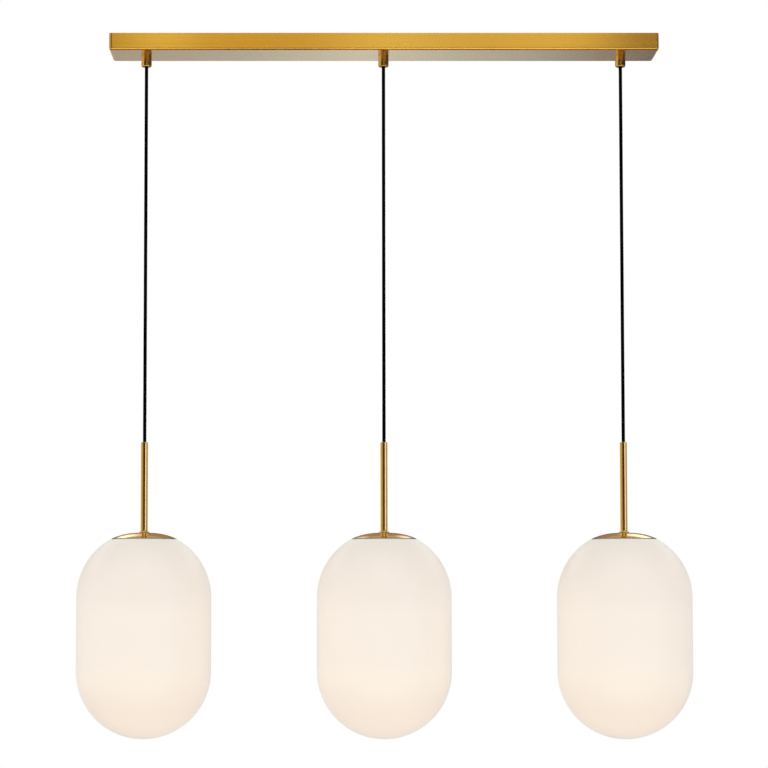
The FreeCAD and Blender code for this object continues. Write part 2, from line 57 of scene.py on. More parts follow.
# the upright axis of each pendant, where its stem stands
axisX = {side: sum(corner[0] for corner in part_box("stem_" + side)) / 2 for side in sides}


camera = {
    "place": (-0.0786, -3.70, -0.835),  # metres: left of the middle, a little below the caps
    "pitch": 3.994,                     # degrees upwards
    "focal": 2550.0,                    # pixels, in a frame of the next width
    "frame": 768.0,
    "sensor": 36.0,                     # millimetres
    "shift": (0.0704, 0.06),
    "near": 0.05, "far": 200.0,         # metres
}


def linkObject(name, data):
    made = bpy.data.objects.new(name, data)
    bpy.context.scene.collection.objects.link(made)
    return made


def setCamera():
    data = bpy.data.cameras.new("studioCamera")
    data.sensor_fit = "HORIZONTAL"
    data.sensor_width = camera["sensor"]
    data.lens = camera["focal"] / camera["frame"] * camera["sensor"]
    data.shift_x, data.shift_y = camera["shift"]
    data.clip_start = camera["near"]
    data.clip_end = camera["far"]
    view = linkObject("studioCamera", data)
    view.location = camera["place"]
    view.rotation_euler = (math.radians(90 + camera["pitch"]), 0, 0)
    bpy.context.scene.camera = view


setCamera()
bpy.context.scene.view_settings.view_transform = "Standard"


# quads between neighbouring rows and columns of a grid of points; a closed way joins its ends
def gridFaces(rows, columns, closeRows, closeColumns):
    row = np.arange(rows if closeRows else rows - 1)
    column = np.arange(columns if closeColumns else columns - 1)
    row, column = np.meshgrid(row, column, indexing="ij")
    nextRow = (row + 1) % rows
    nextColumn = (column + 1) % columns
    corners = [row * columns + column, row * columns + nextColumn,
               nextRow * columns + nextColumn, nextRow * columns + column]
    return np.stack(corners, -1).reshape(-1, 4)


# the faces of a stack of rings, with a flat face over both of its ends
def stackFaces(rows, around):
    ends = [list(range(around)), list(range((rows - 1) * around, rows * around))]
    return gridFaces(rows, around, False, True).tolist() + ends


closest = {"weld": 1e-7, "sliver": 1e-8, "step": 1e-9}   # metres, under which points are one


# a mesh object from points in metres and lists of faces; uv holds one pair for each face corner
def addMesh(name, points, faces, uv=None, sharp=40):
    mesh = bpy.data.meshes.new(name)
    mesh.from_pydata(np.asarray(points, float), [], faces)
    if uv is not None:
        layer = mesh.uv_layers.new(name="surface")
        layer.uv.foreach_set("vector", np.asarray(uv, np.float32).ravel())
    tidyMesh(mesh)
    mesh.polygons.foreach_set("use_smooth", np.ones(len(mesh.polygons), bool))
    mesh.set_sharp_from_angle(angle=math.radians(sharp))
    return linkObject(name, mesh)


# large flat faces keep their own way of facing beside small rounded edges
def evenShading(piece):
    even = piece.modifiers.new("shading", "WEIGHTED_NORMAL")
    even.weight = 90
    even.keep_sharp = True
    applyModifiers(piece)


# one value, or one row of them, from each of a mesh's items
def readAll(items, name, width=1, kind=float):
    values = np.zeros(len(items) * width, kind)
    items.foreach_get(name, values)
    return values.reshape(-1, width) if width > 1 else values


# closes poles and seams, then turns every face outwards
def tidyMesh(mesh):
    work = bmesh.new()
    work.from_mesh(mesh)
    bmesh.ops.remove_doubles(work, verts=work.verts, dist=closest["weld"])
    bmesh.ops.dissolve_degenerate(work, edges=work.edges, dist=closest["sliver"])
    bmesh.ops.recalc_face_normals(work, faces=work.faces)
    work.to_mesh(mesh)
    work.free()


# points of an arc in a half section, as (radius, height), from one angle to another in degrees
def arcPoints(centre, radius, start, end, steps):
    angle = np.radians(np.linspace(start, end, steps + 1))
    return np.stack([centre[0] + radius * np.cos(angle), centre[1] + radius * np.sin(angle)], -1)


# half the angle, in radians, at which a corner counts as straight, and the share of an edge that
# the arc at either end may take
cornerLimits = {"straight": 1.57, "edgeShare": 0.49}


# a polygon's corners (x, y, rounding) with each corner made an arc of that radius, in steps
def roundCorners(corners, steps=5, closed=True):
    places = np.array([corner[:2] for corner in corners], float)
    parts = []
    for i, corner in enumerate(corners):
        rounding = corner[2] if len(corner) > 2 else 0
        atEnd = not closed and i in (0, len(corners) - 1)
        if rounding <= 0 or atEnd:
            parts.append(places[i:i + 1])
            continue
        back = places[i - 1] - places[i]
        on = places[(i + 1) % len(places)] - places[i]
        backLength, onLength = np.hypot(*back), np.hypot(*on)
        back, on = back / backLength, on / onLength
        half = math.acos(max(-1, min(1, float(back @ on)))) / 2
        if half > cornerLimits["straight"]:
            parts.append(places[i:i + 1])
            continue
        reach = min(rounding / math.tan(half),
                    cornerLimits["edgeShare"] * min(backLength, onLength))
        radius = reach * math.tan(half)
        middle = (back + on) / np.hypot(*(back + on))
        centre = places[i] + middle * radius / math.sin(half)
        first, last = places[i] + back * reach - centre, places[i] + on * reach - centre
        share = np.linspace(0, 1, steps + 1)[:, None]
        sweep = math.pi - 2 * half
        arc = (np.sin((1 - share) * sweep) * first + np.sin(share * sweep) * last) / math.sin(sweep)
        parts.append(centre + arc)
    return np.concatenate(parts)


# the profile of a plain ring, with the roundings of its corners from the inner top one onwards
def ringProfile(inner, outer, bottom, top, roundings, steps=5):
    corners = [(inner, top), (outer, top), (outer, bottom), (inner, bottom)]
    return roundCorners([(*corner, rounding) for corner, rounding in zip(corners, roundings)],
                        steps)


# a profile of (radius, height) turned about an upright axis: x = r cos a, y = r sin a, z = height.
# ripple moves the surface: it gets radius, height and angle, and returns a new radius and height.
def turnPoints(profile, around, ripple=None):
    angle = np.linspace(0, 2 * np.pi, around, endpoint=False)
    radius, turn = np.meshgrid(profile[:, 0], angle, indexing="ij")
    height = np.repeat(profile[:, 1:2], around, axis=1)
    if ripple is not None:
        radius, height = ripple(radius, height, turn)
    return np.stack([radius * np.cos(turn), radius * np.sin(turn), height], -1).reshape(-1, 3)


# one turned piece for every axis: closed profiles are rings, open ones end on the axis
def turnedPieces(base, profile, finish, body, around=96, ripple=None, closed=True,
                 places=axisX, node=None):
    shape = turnPoints(np.asarray(profile, float), around, ripple)
    faces = gridFaces(len(profile), around, closed, True).tolist()
    made = {}
    for side, x in places.items():
        piece = addMesh(base + "Form_" + side, shape * mm + (x, 0, 0), faces)
        dress(piece, finish, body.format(side), (node or base + "_{}").format(side))
        made[side] = piece
    return made


# gives a piece its finish, its body and the CAD node that it stands for
def dress(piece, finish, body, *nodes):
    piece.data.materials.clear()
    piece.data.materials.append(finishes[finish])
    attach(piece, body)
    if nodes:
        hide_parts(*nodes)


# part of a profile that runs straight up or down, through the given heights
def upright(radius, heights):
    return np.column_stack([np.full(len(heights), radius), heights])


# adds fine rows to a profile wherever two points lie further apart than the step
def divideProfile(profile, step, closed=True):
    ends = np.roll(profile, -1, axis=0) if closed else np.concatenate([profile[1:], profile[-1:]])
    parts = []
    for a, b in zip(profile, ends):
        count = max(1, int(math.ceil(np.hypot(*(b - a)) / step)))
        share = np.linspace(0, 1, count, endpoint=False)[:, None]
        parts.append(a + (b - a) * share)
    return np.concatenate(parts)


# 0 outside a stretch, 1 inside it, with soft ends of the given width
def within(value, low, high, soft):
    return np.clip((value - low) / soft, 0, 1) * np.clip((high - value) / soft, 0, 1)


threadReach = 0.25   # how close to the thread's radius a row has to be


# a rounded screw thread in a turned wall, between two heights and with the numbers of its form: the
# radius falls by up to the depth along a helix. It takes the rows close to a radius or, in a rolled
# sheet, all beyond it.
def threadCut(form, low, high, there, beyond=False, unit=1.0):
    pitch, depth = form["threadPitch"] * unit, form["threadDepth"] * unit
    soft = form.get("threadSoft", pitch / 2)
    below, above = form["threadGaps"]
    low, high = low + below * unit, high - above * unit

    def ripple(radius, height, turn):
        wave = 0.5 - 0.5 * np.cos(2 * np.pi * height / pitch - turn)
        rows = radius > there if beyond else np.abs(radius - there) < threadReach
        return radius - depth * wave * within(height, low, high, soft) * rows, height

    return ripple


# one node of a material; a value that is a socket is linked, anything else is set
def addNode(tree, kind, inputs=(), **settings):
    node = tree.nodes.new(kind)
    for name, value in settings.items():
        setattr(node, name, value)
    for name, value in dict(inputs).items():
        if isinstance(value, bpy.types.NodeSocket):
            tree.links.new(value, node.inputs[name])
        else:
            node.inputs[name].default_value = value
    return node


def newFinish(name, **shader):
    material = bpy.data.materials.new(name)
    material.use_nodes = True
    tree = material.node_tree
    surface = tree.nodes["Principled BSDF"]
    for socket, value in shader.items():
        surface.inputs[socketNames[socket]].default_value = value
    return material, tree, surface


socketNames = {
    "colour": "Base Color", "metal": "Metallic", "roughness": "Roughness", "ior": "IOR",
    "specular": "Specular IOR Level", "anisotropy": "Anisotropic",
    "anisotropyTurn": "Anisotropic Rotation", "coat": "Coat Weight",
    "coatRoughness": "Coat Roughness", "coatIor": "Coat IOR", "sheen": "Sheen Weight",
    "sheenRoughness": "Sheen Roughness", "glow": "Emission Strength",
    "glowColour": "Emission Color", "transmission": "Transmission Weight",
}


def objectPoint(tree, scale=(1, 1, 1)):
    point = addNode(tree, "ShaderNodeTexCoord")
    mapping = addNode(tree, "ShaderNodeMapping",
                      {"Vector": point.outputs["Object"], "Scale": scale})
    return mapping.outputs["Vector"]


def uvPoint(tree, scale=(1, 1, 1)):
    point = addNode(tree, "ShaderNodeUVMap", uv_map="surface")
    mapping = addNode(tree, "ShaderNodeMapping", {"Vector": point.outputs["UV"], "Scale": scale})
    return mapping.outputs["Vector"]


def noise(tree, vector, detail=2.0):
    made = addNode(tree, "ShaderNodeTexNoise", {"Vector": vector, "Scale": 1.0, "Detail": detail})
    return made.outputs["Fac"]


# noise on Object coordinates, of so many waves a metre along x, y and z
def grain(tree, waves, detail=2.0):
    return noise(tree, objectPoint(tree, waves), detail)


# maps a value from one range to another
def spread(tree, value, low, high, start=0.0, end=1.0):
    made = addNode(tree, "ShaderNodeMapRange", {"Value": value, "From Min": start, "From Max": end,
                                                "To Min": low, "To Max": high})
    return made.outputs["Result"]


def blendColours(tree, share, first, second):
    made = addNode(tree, "ShaderNodeMix", data_type="RGBA")
    for index, value in ((0, share), (6, first), (7, second)):
        if isinstance(value, bpy.types.NodeSocket):
            tree.links.new(value, made.inputs[index])
        else:
            made.inputs[index].default_value = value
    return made.outputs[2]


def calculate(tree, operation, first, second=0.0):
    made = addNode(tree, "ShaderNodeMath", {0: first, 1: second}, operation=operation)
    return made.outputs[0]


def weigh(tree, first, firstShare, second, secondShare):
    return calculate(tree, "ADD", calculate(tree, "MULTIPLY", first, firstShare),
                     calculate(tree, "MULTIPLY", second, secondShare))


# links a finish's colour and roughness, and presses its relief, a height in metres
def linkUp(tree, surface, colour, roughness, height=None, distance=None, strength=1.0):
    tree.links.new(colour, surface.inputs["Base Color"])
    tree.links.new(roughness, surface.inputs["Roughness"])
    if distance:
        bump = addNode(tree, "ShaderNodeBump", {"Height": height, "Distance": distance,
                                                "Strength": strength})
        tree.links.new(bump.outputs["Normal"], surface.inputs["Normal"])


noiseSpan = (0.3, 0.7)   # where nearly all values of a noise lie


# brass sheet drawn over an abrasive belt: long fine lines, and a tone that drifts along the bar
brushedBrassLook = {
    "colours": ((0.64, 0.292, 0.010, 1), (0.78, 0.395, 0.030, 1)), "roughness": (0.15, 0.18),
    "fineLines": (1.2, 1300, 1), "wideLines": (0.6, 300, 1), "toneWaves": (3.1, 9, 1),
    "lineDepth": 0.0000015,   # metres; the three above are waves per metre
    "shader": {"metal": 1.0, "anisotropy": 1.0, "anisotropyTurn": 0.25, "coat": 1.0,
               "coatRoughness": 0.2, "coatIor": 1.45},
}


def makeBrushedBrass():
    look = brushedBrassLook
    material, tree, surface = newFinish("brushedBrass", **look["shader"])
    fine = noise(tree, uvPoint(tree, look["fineLines"]), 3)
    wide = noise(tree, uvPoint(tree, look["wideLines"]))
    tone = noise(tree, uvPoint(tree, look["toneWaves"]))
    lines = weigh(tree, fine, 0.6, wide, 0.4)
    share = spread(tree, weigh(tree, lines, 0.75, tone, 0.25), 0, 1, *noiseSpan)
    tangent = addNode(tree, "ShaderNodeTangent", direction_type="UV_MAP", uv_map="surface")
    tree.links.new(tangent.outputs["Tangent"], surface.inputs["Tangent"])
    linkUp(tree, surface, blendColours(tree, share, *look["colours"]),
           spread(tree, lines, *look["roughness"], *noiseSpan), lines, look["lineDepth"])
    return material


# colour, gloss and relief that follow the fine rings of a turned or spun piece
def followRings(tree, surface, rings, tone, colours, roughness, depth):
    share = spread(tree, calculate(tree, "ADD", rings, tone), 0, 1, 0.7, 1.3)
    linkUp(tree, surface, blendColours(tree, share, *colours),
           spread(tree, rings, *roughness, *noiseSpan), rings, depth)


# brass turned on a lathe and polished: rings too fine to count, a little uneven in tone
def makeTurnedBrass(name, colours, roughness, ringWaves, depth):
    material, tree, surface = newFinish(name, metal=1.0, coat=0.15, coatRoughness=0.05,
                                        coatIor=1.45)
    followRings(tree, surface, grain(tree, (40, 40, ringWaves)), grain(tree, (60, 60, 60)),
                colours, roughness, depth)
    return material


# brass spun over a form: fine rings about each pendant's own axis
def makeSpunBrass(name, side, colours, roughness, ringWaves, depth):
    material, tree, surface = newFinish(name, metal=1.0, coat=0.15, coatRoughness=0.06,
                                        coatIor=1.45)
    point = addNode(tree, "ShaderNodeTexCoord")
    centred = addNode(tree, "ShaderNodeVectorMath", {0: point.outputs["Object"],
                                                     1: (axisX[side], 0, 0)}, operation="SUBTRACT")
    flat = addNode(tree, "ShaderNodeVectorMath", {0: centred.outputs[0], 1: (1, 1, 0)},
                   operation="MULTIPLY")
    away = addNode(tree, "ShaderNodeVectorMath", {0: flat.outputs[0]}, operation="LENGTH")
    radius = addNode(tree, "ShaderNodeCombineXYZ", {"X": away.outputs["Value"]})
    outwards = addNode(tree, "ShaderNodeMapping", {"Vector": radius.outputs[0],
                                                   "Scale": (ringWaves, 1, 1)})
    followRings(tree, surface, noise(tree, outwards.outputs[0], 3), grain(tree, (30, 30, 30)),
                colours, roughness, depth)
    return material


# zinc plate: pale crystals of slightly different brightness
def makeZincSteel():
    material, tree, surface = newFinish("zincSteel", metal=1.0)
    crystals = addNode(tree, "ShaderNodeTexVoronoi", {"Vector": objectPoint(tree), "Scale": 260.0})
    dust = grain(tree, (900, 900, 900))
    tone = weigh(tree, crystals.outputs["Distance"], 0.6, dust, 0.4)
    linkUp(tree, surface,
           blendColours(tree, tone, (0.50, 0.52, 0.54, 1), (0.72, 0.74, 0.76, 1)),
           spread(tree, tone, 0.28, 0.46), dust, 0.000012)
    return material


# one even grain gives a finish its gloss and relief, and its colour where no coarser tone does
def makeGrained(name, waves, first, second, roughness, depth=None, detail=2.0, tone=None, **shader):
    material, tree, surface = newFinish(name, **shader)
    fine = grain(tree, waves, detail)
    share = grain(tree, tone, 1.0) if tone else fine
    linkUp(tree, surface, blendColours(tree, share, first, second),
           spread(tree, fine, *roughness), fine, depth)
    return material


# black textile sheath: strands cross in two helices, read from the cord's own map (turn, length)
cordWeave = {"strandsAround": 8.0, "crossingsPerMetre": 330.0, "depth": 0.00003}


def makeBlackCord():
    material, tree, surface = newFinish("blackCord", specular=0.1, ior=1.1)
    point = addNode(tree, "ShaderNodeUVMap", uv_map="surface")
    parts = addNode(tree, "ShaderNodeSeparateXYZ", {"Vector": point.outputs["UV"]})
    around = calculate(tree, "MULTIPLY", parts.outputs["X"], cordWeave["strandsAround"])
    along = calculate(tree, "MULTIPLY", parts.outputs["Y"], cordWeave["crossingsPerMetre"])
    one = calculate(tree, "MULTIPLY", calculate(tree, "ADD", around, along), math.pi)
    other = calculate(tree, "MULTIPLY", calculate(tree, "SUBTRACT", around, along), math.pi)
    bumps = calculate(tree, "MULTIPLY",
                      calculate(tree, "ABSOLUTE", calculate(tree, "SINE", one)),
                      calculate(tree, "ABSOLUTE", calculate(tree, "SINE", other)))
    fibres = noise(tree, uvPoint(tree, (140, 2600, 1)))
    height = calculate(tree, "ADD", bumps, calculate(tree, "MULTIPLY", fibres, 0.25))
    # the colour is darker where the weave is low: painted shade in the hollows between strands,
    # besides the fibres' own uneven tone
    colour = blendColours(tree, spread(tree, height, 0, 1, 0.1, 1.2),
                          (0.0006, 0.0006, 0.0008, 1), (0.0045, 0.0042, 0.0052, 1))
    linkUp(tree, surface, colour, spread(tree, fibres, 0.62, 0.85), height, cordWeave["depth"])
    return material


# opal glass: a warm white body with a soft sheen, and a glow painted by height in place of the
# bulb's light through it: painted light low down, painted shade at the top under the cap
opalLook = {
    "body": (0.76, 0.72, 0.67, 1), "bodyPale": (0.79, 0.755, 0.71, 1),
    "glow": 0.5,
    "paintedGlowSteps": (   # share of the height from bottom to top, and the painted glow's colour there
        (0.00, (0.92, 0.71, 0.50, 1)), (0.15, (0.73, 0.53, 0.35, 1)),
        (0.39, (0.58, 0.47, 0.35, 1)), (0.63, (0.58, 0.46, 0.36, 1)),
        (0.85, (0.42, 0.31, 0.23, 1)), (1.00, (0.23, 0.17, 0.10, 1))),
}


def makeOpalGlass():
    look = opalLook
    material, tree, surface = newFinish("opalGlass", specular=0.5, ior=1.5, sheen=1.0,
                                        sheenRoughness=0.4, glow=look["glow"])
    top, bottom, _ = turnedSize("shade_left")
    point = addNode(tree, "ShaderNodeTexCoord")
    parts = addNode(tree, "ShaderNodeSeparateXYZ", {"Vector": point.outputs["Object"]})
    share = spread(tree, parts.outputs["Z"], 0, 1, bottom * mm, top * mm)
    # the ramp paints light and shade by height: bright low down, dark under the cap
    ramp = addNode(tree, "ShaderNodeValToRGB", {"Fac": share})
    steps = ramp.color_ramp.elements
    steps[0].position, steps[0].color = look["paintedGlowSteps"][0]
    steps[1].position, steps[1].color = look["paintedGlowSteps"][-1]
    for place, colour in look["paintedGlowSteps"][1:-1]:
        steps.new(place).color = colour
    tree.links.new(ramp.outputs["Color"], surface.inputs["Emission Color"])
    cloud = grain(tree, (14, 14, 9))
    linkUp(tree, surface, blendColours(tree, cloud, look["body"], look["bodyPale"]),
           spread(tree, cloud, 0.42, 0.5), grain(tree, (22, 22, 16), 1.0), 0.0002, 0.5)
    return material


finishes = {
    "brushedBrass": makeBrushedBrass(),
    "stemBrass": makeTurnedBrass("stemBrass", ((0.72, 0.43, 0.12, 1), (0.84, 0.53, 0.18, 1)),
                                 (0.09, 0.12), 900, 0.0000002),
    # the grips' brass is the same polished brass made darker: painted shade
    "gripBrass": makeTurnedBrass("gripBrass", ((0.46, 0.26, 0.05, 1), (0.62, 0.39, 0.10, 1)),
                                 (0.10, 0.14), 1500, 0.0000002),
    "zincSteel": makeZincSteel(),
    "blackCord": makeBlackCord(),
    "opalGlass": makeOpalGlass(),
}

# waves per metre, the two colours, the roughness, the relief in metres, and what else there is
grainedLooks = {
    "plainBrass": ((700, 700, 2200), (0.50, 0.33, 0.10, 1), (0.72, 0.54, 0.22, 1), (0.22, 0.42),
                   0.00001, {"metal": 1.0}),
    "blackRubber": ((900, 900, 900), (0.018, 0.018, 0.019, 1), (0.030, 0.030, 0.031, 1),
                    (0.5, 0.7), 0.00002, {"specular": 0.35, "tone": (45, 45, 45)}),
    "whiteMoulding": ((700, 700, 700), (0.78, 0.77, 0.73, 1), (0.84, 0.83, 0.79, 1),
                      (0.26, 0.38), 0.000012, {"specular": 0.5, "tone": (45, 45, 45)}),
    "brownWire": ((250, 250, 250), (0.055, 0.018, 0.008, 1), (0.085, 0.030, 0.012, 1),
                  (0.3, 0.42), 0.00001, {"specular": 0.4}),
    "blueWire": ((250, 250, 250), (0.012, 0.045, 0.24, 1), (0.018, 0.065, 0.32, 1),
                 (0.3, 0.42), 0.00001, {"specular": 0.4}),
    "greenWire": ((250, 250, 250), (0.03, 0.19, 0.02, 1), (0.05, 0.27, 0.03, 1),
                  (0.3, 0.42), 0.00001, {"specular": 0.4}),
    "clearSilicone": ((160, 160, 160), (0.80, 0.79, 0.75, 1), (0.92, 0.91, 0.88, 1),
                      (0.3, 0.42), None, {"transmission": 0.55, "ior": 1.41}),
    "bulbMetal": ((500, 500, 1500), (0.58, 0.57, 0.54, 1), (0.78, 0.77, 0.73, 1), (0.2, 0.34),
                  0.000008, {"metal": 1.0}),
    "bulbDiffuser": ((1200, 1200, 1200), (0.82, 0.80, 0.76, 1), (0.90, 0.88, 0.84, 1),
                     (0.28, 0.4), 0.000015,
                     {"detail": 1.0, "specular": 0.5, "glow": 0.45, "coat": 0.4,
                      "glowColour": (1.0, 0.86, 0.66, 1), "coatRoughness": 0.1}),
}
for name, (*look, others) in grainedLooks.items():
    finishes[name] = makeGrained(name, *look, **others)

# a slot is named like its finish, with an underscore before each word
slots = {name: "".join("_" + letter.lower() if letter.isupper() else letter for letter in name)
         for name in finishes}
for side in sides:
    finishes["capBrass_" + side] = makeSpunBrass(
        "capBrass_" + side, side, ((0.66, 0.38, 0.07, 1), (0.78, 0.50, 0.13, 1)), (0.12, 0.18),
        1400, 0.0000012)
for name in ("stemBrass", "gripBrass", *("capBrass_" + side for side in sides)):
    slots[name] = "polished_brass"
print("finishes made:", len(finishes))


splineForm = {"order": 3, "stepsBetween": 24}


# the smooth line that a cord follows: a spline led by given points, read back as dense points
def splineLine(name, points):
    curve = bpy.data.curves.new(name, "CURVE")
    curve.dimensions = "3D"
    spline = curve.splines.new("NURBS")
    spline.points.add(len(points) - 1)
    spline.points.foreach_set("co", np.column_stack([points, np.ones(len(points))]).ravel())
    spline.order_u = splineForm["order"]
    spline.use_endpoint_u = True
    spline.resolution_u = splineForm["stepsBetween"]
    route = linkObject(name, curve)
    bpy.context.view_layer.update()
    mesh = bpy.data.meshes.new_from_object(route)
    line = readAll(mesh.vertices, "co", 3)
    bpy.data.meshes.remove(mesh)
    bpy.data.objects.remove(route)
    bpy.data.curves.remove(curve)
    keep = np.r_[True, np.hypot.reduce(np.diff(line, axis=0), axis=1) > closest["step"]]
    return line[keep]


# the same line with points a step apart
def evenLine(line, step):
    lengths = np.r_[0, np.cumsum(np.sqrt((np.diff(line, axis=0) ** 2).sum(1)))]
    places = np.linspace(0, lengths[-1], max(2, int(lengths[-1] / step)) + 1)
    return np.stack([np.interp(places, lengths, line[:, i]) for i in range(3)], -1), places


# a tube's map: the turn, which runs on to 1 at the seam, and each row's own length
def tubeMap(quads, around, lengths):
    turn, length = np.meshgrid(np.arange(around) / around, lengths, indexing="xy")
    seam = (quads % around == 0) & np.isin(np.arange(4), (1, 2))[None, :]
    return np.stack([turn.ravel()[quads] + seam, length.ravel()[quads]], -1).reshape(-1, 2)


# a round tube along a line: point = line + r (cos a * one side + sin a * other side), where the
# two sides are square to the line; its map holds the turn and the length in metres
def tubeAlong(name, line, radius, around, across, step, sharp=50):
    line, places = evenLine(line, step)
    ways = np.gradient(line, axis=0)
    ways /= np.linalg.norm(ways, axis=1)[:, None]
    one = np.cross(ways, np.asarray(across, float))
    one /= np.linalg.norm(one, axis=1)[:, None]
    other = np.cross(ways, one)
    angle = np.linspace(0, 2 * np.pi, around, endpoint=False)
    turn = angle[None, :, None]
    ring = np.cos(turn) * one[:, None] + np.sin(turn) * other[:, None]
    points = (line[:, None] + radius * ring).reshape(-1, 3)
    quads = gridFaces(len(line), around, False, True)
    endUv = np.tile([0.5, 0.0], (2 * around, 1))
    uv = np.concatenate([tubeMap(quads, around, places), endUv])
    return addMesh(name, points, stackFaces(len(line), around), uv, sharp)


cordForm = {
    "diameter": 5.0, "pivotHeight": -42.0, "easeLength": 30.0,   # millimetres
    "around": 28, "step": 3.0, "bendSteps": 16,
}


# each cord hangs dead straight from its grip down through the stem into the lampholder
def hangCords():
    for side in sides:
        x = axisX[side]
        top = cordForm["pivotHeight"] * mm
        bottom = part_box("cord_" + side)[0][2]
        ease = cordForm["easeLength"] * mm
        heights = (top, top - ease, bottom + ease, bottom)
        line = splineLine("cordRoute_" + side, [(x, 0, z) for z in heights])
        line[:, :2] = (x, 0)
        cord = tubeAlong("cordForm_" + side, line, cordForm["diameter"] / 2 * mm,
                         cordForm["around"], (0, 1, 0), cordForm["step"] * mm)
        dress(cord, "blackCord", "hanger_" + side, "cord_" + side)


hangCords()


# the cord's own bend in the grip's mouth: a ball of the same sheath, round about the pivot
def bendCords():
    around = cordForm["around"]
    profile = arcPoints((0, cordForm["pivotHeight"]), cordForm["diameter"] / 2, -90, 90,
                        cordForm["bendSteps"])
    points = turnPoints(profile, around) * mm
    quads = gridFaces(len(profile), around, False, True)
    uv = tubeMap(quads, around, profile[:, 1] * mm)
    for side in sides:
        bend = addMesh("cordBendForm_" + side, points + (axisX[side], 0, 0), quads.tolist(), uv)
        dress(bend, "blackCord", "bend_" + side, "cord_bend_" + side)


bendCords()
print("cords hung")


canopyForm = {
    "sheet": 1.2, "corner": 4.5, "bend": 3.0, "rimEdge": 0.25,        # millimetres
    "leastCorner": 0.15, "insideBend": 0.6,
    "cornerSteps": 10, "bendSteps": 8, "rimSteps": 3, "insideSteps": 4,
    "gripHole": 10.2, "endHole": 4.4, "endHoleSpacing": 30.0, "endHoleDrop": 9.0,
    "gripCut": (2.0, 6.0), "endCut": (1.0, 4.0),   # how far outside a cut starts, and its length
}


# a rounded rectangle seen from above, inset by a distance
def canopyRing(halfLength, halfDepth, inset):
    corner = max(canopyForm["corner"] - inset, canopyForm["leastCorner"])
    x, y = halfLength - inset, halfDepth - inset
    corners = [(x, y, corner), (-x, y, corner), (-x, -y, corner), (x, -y, corner)]
    return roundCorners(corners, canopyForm["cornerSteps"])


# the box is a stack of such rings: up the outside, over the rim and down the inside
def foldCanopy():
    form = canopyForm
    low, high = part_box("canopy_shell")
    halfLength, halfDepth = high[0] / mm, high[1] / mm
    floor, ceiling = low[2] / mm, high[2] / mm
    sheet, bend, rim = form["sheet"], form["bend"], form["rimEdge"]
    outside = arcPoints((bend, floor + bend), bend, 270, 180, form["bendSteps"])
    lip = arcPoints((rim, ceiling - rim), rim, 180, 90, form["rimSteps"])
    lipInside = arcPoints((sheet - rim, ceiling - rim), rim, 90, 0, form["rimSteps"])
    fold = form["insideBend"]
    inside = arcPoints((sheet + fold, floor + sheet + fold), fold, 180, 270, form["insideSteps"])
    profile = np.concatenate([outside, lip, lipInside, inside])
    rings = [np.column_stack([canopyRing(halfLength, halfDepth, inset),
                              np.full(4 * (form["cornerSteps"] + 1), height)])
             for inset, height in profile]
    count = len(rings[0])
    points = np.concatenate(rings) * mm
    canopy = addMesh("canopyForm", points, stackFaces(len(rings), count))
    start, length = form["gripCut"]
    cutHoles(canopy, [rodCutter((axisX[side], 0, (floor - start) * mm), (0, 0, 1),
                                form["gripHole"] / 2 * mm, length * mm) for side in sides])
    start, length = form["endCut"]
    drop, across = form["endHoleDrop"] * mm, form["endHoleSpacing"] / 2 * mm
    cutHoles(canopy, [rodCutter((way * (halfLength + start) * mm, y, ceiling * mm - drop),
                                (-way, 0, 0), form["endHole"] / 2 * mm, length * mm)
                      for way in (-1, 1) for y in (-across, across)])
    canopy.data.set_sharp_from_angle(angle=math.radians(40))
    evenShading(canopy)
    mapBrushLines(canopy)
    dress(canopy, "brushedBrass", "canopy", "canopy_shell")


# a closed rod that cuts a round hole: start point, direction, radius and length in metres
def rodCutter(start, way, radius, length, around=40):
    way = np.asarray(way, float)
    one = np.cross(way, (0, 1, 0)) if abs(way[1]) < 0.9 else np.cross(way, (1, 0, 0))
    one /= np.linalg.norm(one)
    other = np.cross(way, one)
    angle = np.linspace(0, 2 * np.pi, around, endpoint=False)
    ring = radius * (np.cos(angle)[:, None] * one + np.sin(angle)[:, None] * other)
    points = np.concatenate([np.asarray(start) + ring, np.asarray(start) + ring + way * length])
    return addMesh("cutter", points, stackFaces(2, around))


def cutHoles(piece, cutters):
    for cutter in cutters:
        cut = piece.modifiers.new("hole", "BOOLEAN")
        cut.operation = "DIFFERENCE"
        cut.solver = "EXACT"
        cut.object = cutter
    applyModifiers(piece)
    for cutter in cutters:
        bpy.data.objects.remove(cutter)


def applyModifiers(piece):
    bpy.context.view_layer.update()
    graph = bpy.context.evaluated_depsgraph_get()
    mesh = bpy.data.meshes.new_from_object(piece.evaluated_get(graph))
    old = piece.data
    piece.modifiers.clear()
    piece.data = mesh
    bpy.data.meshes.remove(old)


levelFrom = 0.8   # how much of a face's normal is upright where it counts as level


# brush lines run level round the box and lengthwise on its floor: the map holds metres along and
# across them, by the way that each face looks
def mapBrushLines(piece):
    mesh = piece.data
    for layer in list(mesh.uv_layers):
        mesh.uv_layers.remove(layer)
    layer = mesh.uv_layers.new(name="surface")
    place = readAll(mesh.vertices, "co", 3)[readAll(mesh.loops, "vertex_index", kind=int)]
    normal = np.repeat(np.abs(readAll(mesh.polygons, "normal", 3)),
                       readAll(mesh.polygons, "loop_total", kind=int), axis=0)
    level = normal[:, 2] > levelFrom
    end = (normal[:, 0] > normal[:, 1]) & ~level
    along = np.where(end, place[:, 1], place[:, 0])
    across = np.where(level, place[:, 1], place[:, 2])
    layer.uv.foreach_set("vector", np.column_stack([along, across]).astype(np.float32).ravel())


foldCanopy()
print("canopy folded")


gripForm = {
    "shank": 9.8, "bore": 5.4, "edge": 2.2, "mouth": 1.6, "shankReach": 7.0,
    "setScrewHole": 4.1, "topEdge": 0.3, "threadPitch": 1.0, "threadDepth": 0.45,
    "threadGaps": (1.2, 0.4),   # between the thread and the shoulder, and the top
    "cornerSteps": 8, "rowStep": 0.25, "around": 72,
}


